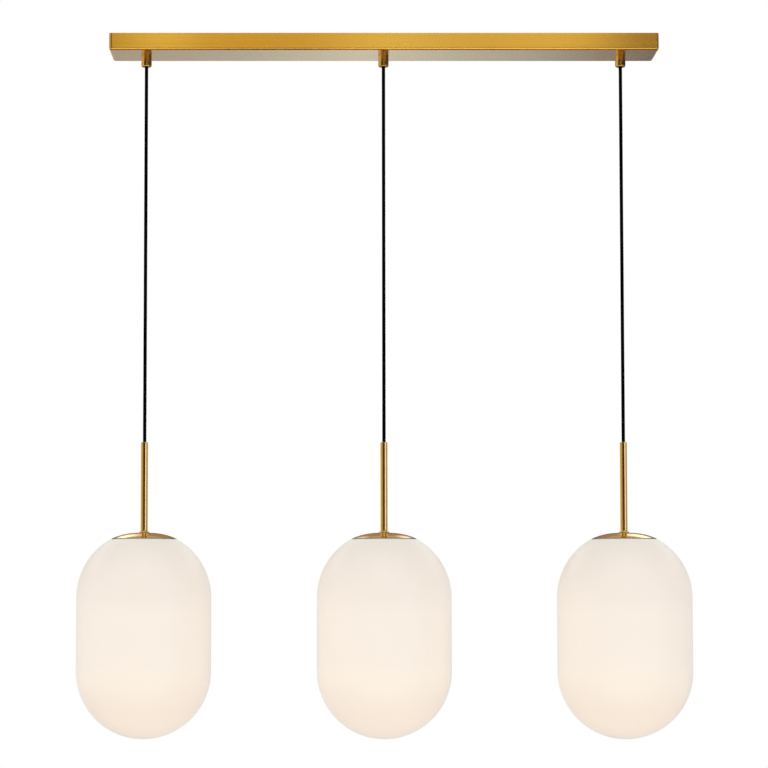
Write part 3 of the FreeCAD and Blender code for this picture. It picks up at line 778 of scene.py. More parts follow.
# a turned barrel with a bell mouth below and a threaded shank through the canopy's floor
def turnGrips():
    form = gripForm
    top, bottom, radius = turnedSize("cord_grip_left")
    shoulder = top - form["shankReach"]
    neck, bore = form["shank"] / 2, form["bore"] / 2
    corners = [(bore, top, 0.2), (neck, top, 0.5), (neck, shoulder),
               (radius, shoulder, form["topEdge"]), (radius, bottom, form["edge"]),
               (bore, bottom, form["mouth"])]
    profile = divideProfile(roundCorners(corners, form["cornerSteps"]), form["rowStep"])
    thread = threadCut(form, shoulder, top, neck)
    made = turnedPieces("cord_grip", profile, "gripBrass", "canopy", form["around"], thread)
    screwHeight = sum(corner[2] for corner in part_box("grip_set_screws")) / 2
    for side, grip in made.items():
        cutHoles(grip, [rodCutter((axisX[side], bore * mm, screwHeight), (0, 1, 0),
                                  form["setScrewHole"] / 2 * mm, radius * mm)])
        grip.data.set_sharp_from_angle(angle=math.radians(40))
        evenShading(grip)


turnGrips()


headlessForm = {
    "tipRounding": 0.25, "endRounding": 0.12,   # shares of the radius
    "threadPitch": 0.7, "threadDepth": 0.3, "threadGaps": (0.3, 0.2), "overCut": 0.5,
    "cornerSteps": 4, "rowStep": 0.12, "around": 40,
}


# a headless screw along a way: a rod with rounded ends and a driven recess in its outer end.
# The recess is a slot or a hexagon, cut with a closed block.
def headlessScrew(tip, way, radius, length, recess):
    form = headlessForm
    tip, way = np.asarray(tip, float), np.asarray(way, float)
    one = np.cross(way, (0, 0, 1))
    other = np.cross(way, one)
    corners = [(0, 0), (radius, 0, radius * form["tipRounding"]),
               (radius, length, radius * form["endRounding"]), (0, length)]
    profile = divideProfile(roundCorners(corners, form["cornerSteps"], False),
                            form["rowStep"] * mm, False)
    thread = threadCut(form, 0, length, radius, unit=mm)
    shape = turnPoints(profile, form["around"], thread) @ np.array([one, other, way]) + tip
    screw = addMesh("screw", shape, gridFaces(len(profile), form["around"], False, True).tolist())
    end = tip + way * (length + form["overCut"] * mm)
    cutHoles(screw, [blockCutter(end, one, other, -way, *recess)])
    screw.data.set_sharp_from_angle(angle=math.radians(35))
    return screw


# a prism that cuts a recess: polygon of some sides, stretched by its half sizes, sunk by a depth
def blockCutter(centre, one, other, way, count, halfOne, halfOther, depth):
    angle = np.linspace(0, 2 * np.pi, count, endpoint=False)[:, None] + np.pi / count
    scale = 1 / math.cos(np.pi / count)
    ring = scale * (halfOne * np.cos(angle) * one + halfOther * np.sin(angle) * other)
    sunk = way * (depth + headlessForm["overCut"] * mm)
    points = np.concatenate([centre + ring, centre + ring + sunk])
    return addMesh("cutter", points, stackFaces(2, count))


# joins pieces of one node into one object
def joinPieces(name, parts):
    work = bmesh.new()
    for part in parts:
        work.from_mesh(part.data)
    joined = bpy.data.meshes.new(name)
    work.to_mesh(joined)
    work.free()
    for part in parts:
        bpy.data.objects.remove(part)
    return linkObject(name, joined)


screwForm = {
    "endDrop": 9.0, "endSpacing": 30.0, "endRadius": 2.0, "hexHalf": 1.0, "hexDepth": 2.0,
    "setRadius": 2.0, "setLength": 4.2, "slotWidth": 0.4, "slotHalf": 3.0, "slotDepth": 1.0,
}


def driveScrews():
    form = screwForm
    low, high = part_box("grub_screws")
    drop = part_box("canopy_shell")[1][2] - form["endDrop"] * mm
    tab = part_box("mounting_bracket")[1][0]
    hexagon = (6, form["hexHalf"] * mm, form["hexHalf"] * mm, form["hexDepth"] * mm)
    across = form["endSpacing"] / 2 * mm
    screws = [headlessScrew((way * tab, y, drop), (way, 0, 0), form["endRadius"] * mm,
                            high[0] - tab, hexagon)
              for way in (-1, 1) for y in (-across, across)]
    dress(joinPieces("grubScrewForms", screws), "zincSteel", "canopy", "grub_screws")
    low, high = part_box("grip_set_screws")
    height = (low[2] + high[2]) / 2
    slot = (4, form["slotHalf"] * mm, form["slotWidth"] / 2 * mm, form["slotDepth"] * mm)
    screws = [headlessScrew((axisX[side], high[1] - form["setLength"] * mm, height), (0, 1, 0),
                            form["setRadius"] * mm, form["setLength"] * mm, slot)
              for side in sides]
    dress(joinPieces("setScrewForms", screws), "gripBrass", "canopy", "grip_set_screws")


driveScrews()


nutForm = {
    "across": 14.0, "gripBore": 9.9, "stemBore": 10.1, "washer": 15.0, "washerBore": 10.2,
    "chamfer": 0.08,                             # of the size across flats
    "faceReach": 1.005, "cornerReach": 1.16,     # of half that size, at a face and between them
    "boreEdge": 0.35, "around": 96, "washerAround": 72,
}


# a hexagon nut: a hexagon carried up a stack of rings whose corners are cut back at both faces,
# r = flat / cos(angle to the nearest flat), held under the chamfer's radius
def nutShape(bore, bottom, top):
    form = nutForm
    flat, inner, edge = form["across"] / 2, bore / 2, form["boreEdge"]
    cutBack = form["chamfer"] * form["across"] / 2
    angle = np.linspace(0, 2 * np.pi, form["around"], endpoint=False)
    toFlat = np.mod(angle + np.pi / 6, np.pi / 3) - np.pi / 6
    hexagon = flat / np.cos(toFlat)
    limits = [(top, form["faceReach"]), (top - cutBack, form["cornerReach"]),
              (bottom + cutBack, form["cornerReach"]), (bottom, form["faceReach"])]
    level = np.ones(form["around"])
    rows = [level * (inner + edge), *[np.minimum(hexagon, flat * reach) for _, reach in limits],
            level * (inner + edge), level * inner, level * inner]
    heights = [top, *[height for height, _ in limits], bottom, bottom + edge, top - edge]
    radius, height = np.stack(rows), np.array(heights)[:, None] * level
    points = np.stack([radius * np.cos(angle), radius * np.sin(angle), height], -1).reshape(-1, 3)
    return points * mm, gridFaces(len(rows), form["around"], True, True).tolist()


def threadNuts():
    form = nutForm
    top, bottom, _ = turnedSize("grip_nuts")
    points, faces = nutShape(form["gripBore"], bottom, top)
    nuts = [addMesh("nut", points + (axisX[side], 0, 0), faces) for side in sides]
    dress(joinPieces("gripNutForms", nuts), "plainBrass", "canopy", "grip_nuts")
    top, bottom, _ = turnedSize("grip_washers")
    profile = ringProfile(form["washerBore"] / 2, form["washer"] / 2, bottom, top,
                          (0.1, 0.3, 0.15, 0.1), 3)
    points = turnPoints(profile, form["washerAround"]) * mm
    faces = gridFaces(len(profile), form["washerAround"], True, True).tolist()
    washers = [addMesh("washer", points + (axisX[side], 0, 0), faces) for side in sides]
    dress(joinPieces("gripWasherForms", washers), "zincSteel", "canopy", "grip_washers")
    top, bottom, _ = turnedSize("lock_nut_left")
    points, faces = nutShape(form["stemBore"], bottom, top)
    for side in sides:
        nut = addMesh("lockNutForm_" + side, points + (axisX[side], 0, 0), faces)
        dress(nut, "plainBrass", "hanger_" + side, "lock_nut_" + side)


threadNuts()
print("grips, screws and nuts turned")


easing = {"weld": 1e-6, "flat": 1, "segments": 2, "brokenFrom": 50, "sharpFrom": 32}


# a copy of a CAD node with its fine edges broken, as punched and moulded pieces have them: points
# are welded within metres, and faces count as flat, broken and sharp by degrees
def easedCopy(name, node, finish, body, edge):
    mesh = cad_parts[node].data.copy()
    mesh.materials.clear()
    work = bmesh.new()
    work.from_mesh(mesh)
    bmesh.ops.remove_doubles(work, verts=work.verts, dist=easing["weld"])
    bmesh.ops.dissolve_limit(work, angle_limit=math.radians(easing["flat"]), verts=work.verts,
                             edges=work.edges)
    work.to_mesh(mesh)
    work.free()
    piece = linkObject(name, mesh)
    bevel = piece.modifiers.new("edge", "BEVEL")
    bevel.width = edge * mm
    bevel.segments = easing["segments"]
    bevel.limit_method = "ANGLE"
    bevel.angle_limit = math.radians(easing["brokenFrom"])
    applyModifiers(piece)
    piece.data.polygons.foreach_set("use_smooth", np.ones(len(piece.data.polygons), bool))
    piece.data.set_sharp_from_angle(angle=math.radians(easing["sharpFrom"]))
    evenShading(piece)
    dress(piece, finish, body, node)


insideEdges = {   # how far each piece's edges are broken, in millimetres
    "mounting_bracket": ("mountingBracketForm", "zincSteel", 0.25),
    "weld_nuts": ("weldNutForms", "zincSteel", 0.3),
    "earth_screw": ("earthScrewForm", "plainBrass", 0.35),
    "terminal_block": ("terminalBlockForm", "whiteMoulding", 0.25),
    "terminal_clamps": ("terminalClampForms", "plainBrass", 0.1),
}
for node, (name, finish, edge) in insideEdges.items():
    easedCopy(name, node, finish, "canopy", edge)


bushForm = {"bore": 9.0, "neck": 12.96, "flangeHeight": 2.0, "around": 72}


# the rubber bush that guards the supply cable
def mouldBush():
    form = bushForm
    top, bottom, radius = turnedSize("cable_bush")
    flange = bottom + form["flangeHeight"]
    bore, neck = form["bore"] / 2, form["neck"] / 2
    corners = [(bore, top, 0.4), (neck, top, 0.3), (neck, flange), (radius, flange, 0.3),
               (radius, bottom, 0.9), (bore, bottom, 0.8)]
    low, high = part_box("cable_bush")
    turnedPieces("cableBush", roundCorners(corners, 5), "blackRubber", "canopy", form["around"],
                 places={"bracket": (low[0] + high[0]) / 2}, node="cable_bush")


mouldBush()


tailForm = {
    "ends": {"left": (147.0, -8.0, -7.6), "middle": (147.0, 4.0, -9.8),
             "right": (213.0, 0.0, -7.6)},
    "startHeight": -39.2, "bendRun": 12.0, "ease": 30.0, "around": 20, "step": 2.0,
    "coreDiameter": 1.4, "coreSpread": 1.5, "poleSpacing": 8.0, "blockX": 180.0,
    "blockReach": 11.1, "coreLead": 4.0, "coreAround": 14, "coreStep": 1.0,
    "earthHeight": -9.8, "earthUnder": 1.5, "earthGap": 0.1,
}


# each cord goes on inside the canopy: up out of its grip, over, and along to the terminal block
def layTails():
    form = tailForm
    tails = []
    for side, (endX, endY, endZ) in form["ends"].items():
        x = axisX[side] / mm
        run = endX - x
        points = [(x, 0, form["startHeight"]), (x, 0, endZ - form["bendRun"]), (x, 0, endZ),
                  (x + math.copysign(form["bendRun"], run), 0, endZ)]
        if endY:
            points += [(x + run / 6, 0, endZ), (x + run / 2, endY, endZ)]
        points += [(endX - math.copysign(form["ease"], run), endY, endZ), (endX, endY, endZ)]
        line = splineLine("tailRoute", np.array(points) * mm)
        tails.append(tubeAlong("tail", line, cordForm["diameter"] / 2 * mm, form["around"],
                               (0, 1, 0), form["step"] * mm))
    dress(joinPieces("cordTailForms", tails), "blackCord", "canopy", "cord_tails")


layTails()


# three insulated cores leave every cord and go to their poles; the green one also has the lead
# from the block to the earth screw
def layCores():
    form = tailForm
    for pole, (node, finish) in enumerate((("wires_live", "brownWire"),
                                           ("wires_neutral", "blueWire"),
                                           ("wires_earth", "greenWire"))):
        row = pole - 1
        cores = []
        for endX, endY, endZ in form["ends"].values():
            way = math.copysign(1, form["blockX"] - endX)
            start = (endX + way * form["coreDiameter"] / 2, endY + row * form["coreSpread"], endZ)
            face = (form["blockX"] - way * form["blockReach"], row * form["poleSpacing"], endZ)
            cores.append(coreBetween(start, face, way))
        if node == "wires_earth":
            low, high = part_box("earth_screw")
            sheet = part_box("mounting_bracket")[1][2] / mm - form["earthUnder"]
            start = (form["blockX"] + form["blockReach"], form["poleSpacing"], form["earthHeight"])
            end = ((low[0] + high[0]) / 2 / mm,
                   high[1] / mm + form["coreDiameter"] / 2 + form["earthGap"],
                   sheet - form["coreDiameter"])
            cores.append(coreBetween(start, end, 1))
        dress(joinPieces(node.replace("wires_", "coreForms_"), cores), finish, "canopy", node)


# a core leaves along its cord, swings over and enters its pole straight
def coreBetween(start, end, way):
    start, end = np.array(start, float), np.array(end, float)
    lead = np.array([way * tailForm["coreLead"], 0, 0])
    line = splineLine("coreRoute", np.array([start, start + lead, end - lead, end]) * mm)
    return tubeAlong("core", line, tailForm["coreDiameter"] / 2 * mm, tailForm["coreAround"],
                     (0, 0, 1), tailForm["coreStep"] * mm)


layCores()
print("wiring laid")


stemForm = {
    "bore": 8.2, "foot": 10.0, "topEdge": 0.7, "footEdge": (0.5, 0.4), "bushBore": 5.4,
    "threadPitch": 1.0, "threadDepth": 0.45, "threadGaps": (0.0, 1.2), "rowStep": 0.25,
    "around": 80, "bushAround": 64,
}


# a tube with an eased top and a threaded foot that goes through cap, gallery and nut
def turnStems():
    form = stemForm
    top, bottom, radius = turnedSize("stem_left")
    seat = turnedSize("cap_left")[0]
    bore, foot = form["bore"] / 2, form["foot"] / 2
    threadTop = seat - form["threadGaps"][1]
    inwards, upwards = form["footEdge"]
    profile = np.concatenate([
        roundCorners([(bore, top), (radius, top, form["topEdge"]), (radius, seat, 0.1),
                      (foot, seat)], 6, False),
        divideProfile(np.array([[foot, threadTop], [foot, bottom + upwards]]), form["rowStep"],
                      False),
        [[foot - inwards, bottom], [bore, bottom]],
    ])
    thread = threadCut(form, bottom, seat, foot)
    made = turnedPieces("stem", profile, "stemBrass", "hanger_{}", form["around"], thread)
    for stem in made.values():
        evenShading(stem)
    top, bottom, radius = turnedSize("stem_bush_left")
    profile = ringProfile(form["bushBore"] / 2, radius, bottom, top, (0.8, 0.3, 0.3, 0.3))
    turnedPieces("stem_bush", profile, "plainBrass", "hanger_{}", form["bushAround"])


turnStems()


collarForm = {"bore": 5.25, "boreEdge": 0.1, "flare": 2.0, "flareTo": 262, "flareSteps": 10,
              "footEdge": 0.3, "around": 80}


# the collar flares out to its foot in one hollow curve
def turnCollars():
    form = collarForm
    top, bottom, radius = turnedSize("stem_collar_left")
    bore, edge = form["bore"], form["boreEdge"]
    flare = arcPoints((radius, top), form["flare"], 180, form["flareTo"], form["flareSteps"])
    foot = roundCorners([(radius, top - form["flare"]), (radius, bottom, form["footEdge"]),
                         (bore, bottom)], 4, False)
    profile = np.concatenate([[[bore, top - edge], [bore + edge, top]], flare, foot])
    turnedPieces("stem_collar", profile, "stemBrass", "hanger_{}", form["around"])


turnCollars()


capForm = {
    "sheet": 1.0, "seat": 17.0, "hole": 10.1, "holeEdge": 0.2, "domeSteps": 40, "around": 144,
    "rimGap": 0.25, "lipDrop": 0.12,   # degrees short of the rim, and how far it rounds below
}


# a spun dome: a flat seat, an arc down to the rim, a rounded edge and the same arc back inside
def spinCaps():
    form = capForm
    top, bottom, radius = turnedSize("cap_left")
    seat, hole, sheet = form["seat"] / 2, form["hole"] / 2, form["sheet"]
    run, rise = radius - seat, top - bottom
    dome = (run ** 2 + rise ** 2) / (2 * rise)
    centre = (seat, top - dome)
    outerEnd = math.degrees(math.asin((bottom - centre[1]) / dome))
    innerEnd = math.degrees(math.asin((bottom - centre[1]) / (dome - sheet)))
    outer = arcPoints(centre, dome, 90, outerEnd + form["rimGap"], form["domeSteps"])
    inner = arcPoints(centre, dome - sheet, innerEnd + form["rimGap"], 90, form["domeSteps"])
    lip = (outer[-1] + inner[0]) / 2 - (0, form["lipDrop"])
    edge = form["holeEdge"]
    profile = np.concatenate([[[hole, top - edge], [hole + edge, top]], outer, [lip], inner,
                              [[hole, top - sheet]]])
    for side in sides:
        turnedPieces("cap", profile, "capBrass_" + side, "hanger_{}", form["around"],
                     places={side: axisX[side]})


spinCaps()


galleryForm = {
    "sheet": 1.0, "hole": 10.1, "shoulder": 1.6, "rowStep": 0.6, "around": 128,
    "threadPitch": 4.0, "threadDepth": 0.7, "threadGaps": (0.8, 2.2), "threadSoft": 1.0,
}


# a pressed cup whose skirt has a rolled thread, pushed through its whole sheet
def pressGalleries():
    form = galleryForm
    top, bottom, radius = turnedSize("gallery_left")
    hole, sheet = form["hole"] / 2, form["sheet"]
    inside = radius - sheet
    outline = [(hole, top, 0.1), (radius, top, form["shoulder"]), (radius, bottom, 0.3),
               (inside, bottom, 0.3), (inside, top - sheet, 0.8), (hole, top - sheet, 0.1)]
    profile = divideProfile(roundCorners(outline, 6), form["rowStep"])
    thread = threadCut(form, bottom, top, inside - 0.2, beyond=True)
    turnedPieces("gallery", profile, "zincSteel", "hanger_{}", form["around"], thread)


pressGalleries()


gasketForm = {"width": 2.0, "around": 128}


def mouldGaskets():
    top, bottom, radius = turnedSize("gasket_left")
    profile = ringProfile(radius - gasketForm["width"], radius, bottom, top,
                          (0.25, 0.3, 0.3, 0.25))
    turnedPieces("gasket", profile, "clearSilicone", "seal_{}", gasketForm["around"])


mouldGaskets()
print("stems, caps and galleries turned")


glassForm = {
    "straight": 106.0, "wall": 3.0, "crest": 3.5, "neck": 9.0,
    "threadPitch": 4.0, "threadDepth": -0.75,   # outwards
    "threadGaps": (0.6, 0.4), "rowStep": 0.45,
    "around": 160, "straightSteps": 24, "lowerSteps": 56, "upperSteps": 40, "crestSteps": 14,
    "lipSteps": 8, "upperInside": 36, "lowerInside": 48,
}


# the blown capsule: lower round end, straight wall, upper round end, crest, threaded neck, lip,
# and the same way back inside at the wall's thickness
def blowGlass():
    form = glassForm
    top, bottom, radius = turnedSize("shade_left")
    wall, crest = form["wall"], form["crest"]
    lower = bottom + radius
    upper = lower + form["straight"]
    crestHeight = top - crest
    crestRadius = math.sqrt((radius - crest) ** 2 - (crestHeight - upper) ** 2)
    leave = math.degrees(math.atan2(crestHeight - upper, crestRadius))
    neck = crestRadius - crest
    neckEnd = crestHeight - form["neck"]
    meet = math.degrees(math.acos((neck + wall) / (radius - wall)))
    straight = np.linspace(lower, upper, form["straightSteps"])[1:-1]
    neckRows = np.arange(crestHeight, neckEnd, -form["rowStep"])[1:]
    profile = np.concatenate([
        arcPoints((0, lower), radius, -90, 0, form["lowerSteps"]),
        upright(radius, straight),
        arcPoints((0, upper), radius, 0, leave, form["upperSteps"]),
        arcPoints((crestRadius, crestHeight), crest, leave, 180, form["crestSteps"])[1:],
        upright(neck, neckRows),
        arcPoints((neck + wall / 2, neckEnd), wall / 2, 180, 360, form["lipSteps"]),
        arcPoints((0, upper), radius - wall, meet, 0, form["upperInside"]),
        upright(radius - wall, straight[::-1]),
        arcPoints((0, lower), radius - wall, 0, -90, form["lowerInside"]),
    ])
    thread = threadCut(form, neckEnd, crestHeight, neck)
    turnedPieces("shade", profile, "opalGlass", "glass_{}", form["around"], thread, closed=False)


blowGlass()
print("glass blown")


holderForm = {
    "neck": 16.0, "neckHeight": 5.0, "dome": 12.0, "wall": 3.0, "lipReach": 1.2, "lipHeight": 3.0,
    "socketBore": 30.0, "socketDepth": 27.0, "threadBore": 10.1, "stemReach": 8.0,
    "ribs": 36, "ribDepth": 0.45, "ribGap": 3.0, "ribSoft": 1.5, "ribReach": 0.1,
    "rowStep": 0.7, "rowGap": 0.6, "domeSteps": 18, "around": 180,
}


# the moulded lampholder: neck, domed shoulder, ribbed body and lip, with the socket below and the
# cord's chamber above
def mouldHolders():
    form = holderForm
    top, bottom, outermost = turnedSize("lampholder_left")
    outer = outermost - form["lipReach"]
    neck, wall = form["neck"] / 2, form["wall"]
    thread, socket = form["threadBore"] / 2, form["socketBore"] / 2
    domeTop = top - form["neckHeight"]
    shoulder = domeTop - form["dome"]
    run = outer - neck
    lift = (run ** 2 + form["dome"] ** 2) / (2 * run)
    lean = math.degrees(math.asin(form["dome"] / lift))
    chamber = outer - wall
    chamberTop = top - form["stemReach"]
    socketTop = bottom + form["socketDepth"]
    lip = bottom + form["lipHeight"]
    rows = np.arange(shoulder - form["rowGap"], lip + form["rowGap"], -form["rowStep"])
    profile = np.concatenate([
        [[thread, top - 0.3], [thread + 0.3, top]],
        roundCorners([(thread, top), (neck, top, 0.6), (neck, domeTop), (neck, domeTop - 1)], 4,
                     False)[1:-1],
        arcPoints((outer - lift, shoulder), lift, lean, 0, form["domeSteps"]),
        upright(outer, rows),
        roundCorners([(outer, lip + 0.5), (outer, lip, 0.2), (outermost, lip, 0.5),
                      (outermost, bottom, 0.7), (socket, bottom, 0.4), (socket, socketTop, 0.4),
                      (0, socketTop)], 4, False),
        [[0, socketTop + wall], [chamber, socketTop + wall], [chamber, shoulder],
         [neck, chamberTop], [thread, chamberTop]],
    ])
    around = form["around"]

    def ripple(radius, height, turn):
        wave = 0.5 + 0.5 * np.cos(form["ribs"] * turn)
        zone = within(height, lip + form["ribGap"], shoulder - form["ribGap"], form["ribSoft"])
        rows = np.abs(radius - outer) < form["ribReach"]
        return radius - form["ribDepth"] * wave * zone * rows, height

    shape = turnPoints(profile, around, ripple)
    faces = gridFaces(len(profile), around, True, True)
    onAxis = np.isclose(profile[:, 0], 0)
    faces = faces[~onAxis[faces // around].all(axis=1)].tolist()
    for side in sides:
        holder = addMesh("lampholderForm_" + side, shape * mm + (axisX[side], 0, 0), faces)
        dress(holder, "whiteMoulding", "hanger_" + side, "lampholder_" + side)


mouldHolders()


shellForm = {
    "bore": 27.4, "sheet": 0.5, "length": 21.0, "contact": 7.0, "contactHeight": 1.2,
    "threadPitch": 3.6, "threadDepth": 0.275, "threadGaps": (0.5, 1.0), "threadSoft": 1.0,
    "rowStep": 0.5, "around": 96, "contactAround": 48,
}


# the rolled screw shell of the socket, and its sprung centre contact
def rollShells():
    form = shellForm
    top, _, radius = turnedSize("screw_shell_left")
    inner, sheet, button = form["bore"] / 2, form["sheet"], form["contact"] / 2
    bottom = top - form["length"]
    hole = button + 2 * sheet
    outline = [(hole, top, 0.1), (radius, top, 0.45), (radius, bottom, 0.15), (inner, bottom, 0.15),
               (inner, top - sheet, 0.2), (hole, top - sheet, 0.1)]
    profile = divideProfile(roundCorners(outline, 4), form["rowStep"])
    thread = threadCut(form, bottom, top, inner - 0.1, beyond=True)
    shellPoints = turnPoints(profile, form["around"], thread) * mm
    shellFaces = gridFaces(len(profile), form["around"], True, True).tolist()
    low = top - sheet - form["contactHeight"]
    profile = roundCorners([(0, top), (button, top), (button, low + 0.2, 0.3), (0, low)], 4, False)
    contactPoints = turnPoints(profile, form["contactAround"]) * mm
    contactFaces = gridFaces(len(profile), form["contactAround"], False, True).tolist()
    for side in sides:
        shell = addMesh("shell", shellPoints + (axisX[side], 0, 0), shellFaces)
        contact = addMesh("contact", contactPoints + (axisX[side], 0, 0), contactFaces)
        dress(joinPieces("screwShellForm_" + side, [shell, contact]), "plainBrass",
              "hanger_" + side, "screw_shell_" + side)


rollShells()


bulbForm = {
    "neck": 28.0, "neckEdge": 0.6, "flare": 45.0, "tip": 9.6, "tipHeight": 3.0,
    "tipCone": (0.6, 1.0), "shoulderEdge": 0.4, "threadPitch": 3.6, "threadDepth": 0.6,
    "threadGaps": (3.0, 0.8), "rowStep": 0.4, "around": 96, "globeSteps": 60, "flareSteps": 20,
}


# the bulb: a rolled base with its insulated tip, and a frosted globe whose neck flares into it
def blowBulbs():
    form = bulbForm
    top, bottom, radius = turnedSize("bulb_base_left")
    shoulder = top - form["tipHeight"]
    tip, edge = form["tip"] / 2, form["shoulderEdge"]
    outwards, downwards = form["tipCone"]
    rows = np.arange(shoulder - edge, bottom, -form["rowStep"])
    profile = np.concatenate([
        roundCorners([(0, top), (tip, top, 0.7), (tip + outwards, top - downwards, 0.3),
                      (radius - edge, shoulder, 0.6), (radius, shoulder - edge)], 4, False),
        upright(radius, rows),
        [[radius, bottom], [0, bottom]],
    ])
    thread = threadCut(form, bottom, shoulder, radius)
    turnedPieces("bulb_base", profile, "bulbMetal", "bulb_{}", form["around"], thread, closed=False)
    top, bottom, globe = turnedSize("bulb_globe_left")
    centre = bottom + globe
    neck = form["neck"] / 2
    away = neck + form["flare"]
    rise = math.sqrt((globe + form["flare"]) ** 2 - away ** 2)
    lean = math.degrees(math.atan2(rise, away))
    edge = form["neckEdge"]
    profile = np.concatenate([
        arcPoints((0, centre), globe, -90, lean, form["globeSteps"]),
        arcPoints((away, centre + rise), form["flare"], 180 + lean, 180, form["flareSteps"])[1:],
        [[neck, top - edge], [neck - edge, top], [0, top]],
    ])
    turnedPieces("bulb_globe", profile, "bulbDiffuser", "bulb_{}", form["around"], closed=False)


blowBulbs()
print("lampholders and bulbs made")


studio = {
    "floorDrop": -1.95, "floorHalf": 14.0, "floorColour": (0.80, 0.80, 0.80, 1),
    "floorGlow": 0.45, "farGlow": 1.0, "fadeStart": 5.0, "fadeEnd": 12.0,
    "worldWhite": 1.0, "worldLight": 0.74,
    "keyPlace": (-2.4, -3.0, 1.7), "keySize": 2.6, "keyPower": 34.0,
    "fillPlace": (2.8, -2.2, 0.2), "fillSize": 2.4, "fillPower": 15.0,
    "aim": (0, 0, -0.5),
    "boardDistance": 11.0, "boardColumns": 33, "boardRows": 9,
}


# corners of a near board that faces the camera's way: half its width, then how far back and how
# high its first and its second long edge lie
def crossBoard(half, first, second):
    (near, low), (far, high) = first, second
    return ((-half, near, low), (half, near, low), (half, far, high), (-half, far, high))


# boards that only gloss can see, of white paper or of dark wood. Those on the sphere are given by
# azimuth (0 is towards the camera, and it grows to the right) and elevation in degrees, the near
# ones by the corners of a quad in metres. Then come their brightness in steps from side to side and
# their tint. A step may end in a tint of its own.
paper, wood = (1, 1, 1), (1, 0.5, 0.16)
pale, cream, amber = (0.94, 1.10, 1.12), (1, 0.85, 0.6), (1, 0.70, 0.28)
warm, even, cool = (1, 0.98, 0.3), (1, 1.12, 1.15), (1, 1.24, 2.0)
boardFoot, boardTop = -1.93, -0.66   # heights in metres: just over the floor, and the upper edge
skyBoards = {
    "stemLeft": ((-180, -35), (-2.5, 9), ((0, 0.8), (0.70, 0.72), (0.86, 0.5), (0.98, 0.25)),
                 (1, 0.9, 0.6)),
    "stemMiddle": ((-35, 29), (-2.5, 9), ((0, 0.075),), wood),
    "stemRight": ((29, 180), (-2.5, 9), ((0, 1.5, cool), (0.14, 1.5, cool), (0.22, 0.55),
                                         (0.5, 0.5), (0.7, 0.85)), paper),
    "lowMiddle": ((-58, 58), (-7.4, -2.5), ((0, 0.10),), wood),
    "gripMiddle": ((-58, -4), (9.2, 16.5), ((0, 0.07),), wood),
    "gripCentre": ((-4, 25), (9.2, 16.5), ((0, 0.30),), paper),
    "gripRight": ((25, 180), (9.2, 16.5), ((0, 0.06),), wood),
    "gripLeft": ((-180, -118), (9.2, 16.5), ((0, 0.20),), wood),
    "leftWall": ((-110, -18), (17, 60), ((0, 0.35),), paper),
    "rightWall": ((18, 110), (17, 60), ((0, 0.35),), paper),
    "lightBank": ((-16, 16), (17, 46),
                  ((0, 1.2, warm), (0.27, 1.2, warm), (0.284, 1.9, even), (0.312, 2.8, cool),
                   (0.335, 2.7, cool), (0.36, 1.6, warm), (0.385, 1.65, warm), (0.46, 1.6, warm),
                   (0.50, 1.9, even), (0.54, 2.25, cool), (0.585, 1.95, cool), (0.62, 1.8, even),
                   (0.665, 1.95, even), (0.72, 2.2, cool), (0.753, 2.1, even), (0.772, 1.1, warm),
                   (0.785, 0.6, warm), (1, 0.45, warm)), paper),
    "capTops": ((110, 250), (16.6, 22), ((0, 0.30),), paper),
    "capFronts": ((110, 250), (22, 36), ((0, 2.2), (0.41, 2.2), (0.455, 0.45, amber),
                                         (0.545, 0.45, amber), (0.59, 2.2), (1, 2.2)), paper),
    "capRims": ((110, 250), (36, 62), ((0, 0.60),), paper),
}
nearBoards = {
    "frontFloor": (crossBoard(1.2, (-3.3, boardFoot), (-1.0, boardFoot)),
                   ((0, 1.2), (0.27, 2.0), (0.33, 1.5), (0.36, 1.1), (0.46, 1.1), (0.50, 1.9),
                    (0.70, 2.4), (0.80, 1.6), (1, 1.2)), paper),
    "underneath": (crossBoard(3, (-1.0, boardFoot), (2.2, boardFoot)), ((0, 0.10),), wood),
    "lowBack": (crossBoard(4, (2.2, boardFoot), (7.0, -0.72)),
                ((0, 0.42), (0.38, 0.46), (0.45, 0.56, pale), (0.505, 0.8, pale), (0.55, 0.6, pale),
                 (0.585, 0.46, pale), (0.615, 0.25), (0.65, 0.11, even), (1, 0.11, even)), paper),
    "lowFront": (crossBoard(8, (-4.6, boardFoot), (-4.6, boardTop)), ((0, 0.40),), cream),
    "lowRight": (((5, -4.6, boardFoot), (5, 5, boardFoot), (5, 5, boardTop), (5, -4.6, boardTop)),
                 ((0, 0.10),), wood),
}


def layFloor():
    half, rows = studio["floorHalf"], studio["boardRows"]
    grid = np.linspace(-half, half, rows)
    x, y = np.meshgrid(grid, grid, indexing="ij")
    points = np.stack([x, y, np.full_like(x, studio["floorDrop"])], -1).reshape(-1, 3)
    floor = addMesh("floor", points, gridFaces(rows, rows, False, False).tolist())
    floor.data.flip_normals()
    material, tree, surface = newFinish("floorPaper", colour=studio["floorColour"], roughness=0.9,
                                        specular=0.1, glowColour=(1, 1, 1, 1))
    away = addNode(tree, "ShaderNodeVectorMath", {0: objectPoint(tree)}, operation="LENGTH")
    fade = spread(tree, away.outputs["Value"], studio["floorGlow"], studio["farGlow"],
                  studio["fadeStart"], studio["fadeEnd"])
    glow = calculate(tree, "MULTIPLY", seenOrReflected(tree), fade)
    tree.links.new(glow, surface.inputs["Emission Strength"])
    floor.data.materials.append(material)


# 1 for what the camera sees, in metal and through glass as well
def seenOrReflected(tree):
    path = addNode(tree, "ShaderNodeLightPath")
    seen = calculate(tree, "MAXIMUM", path.outputs["Is Camera Ray"], path.outputs["Is Glossy Ray"])
    return calculate(tree, "MAXIMUM", seen, path.outputs["Is Transmission Ray"])


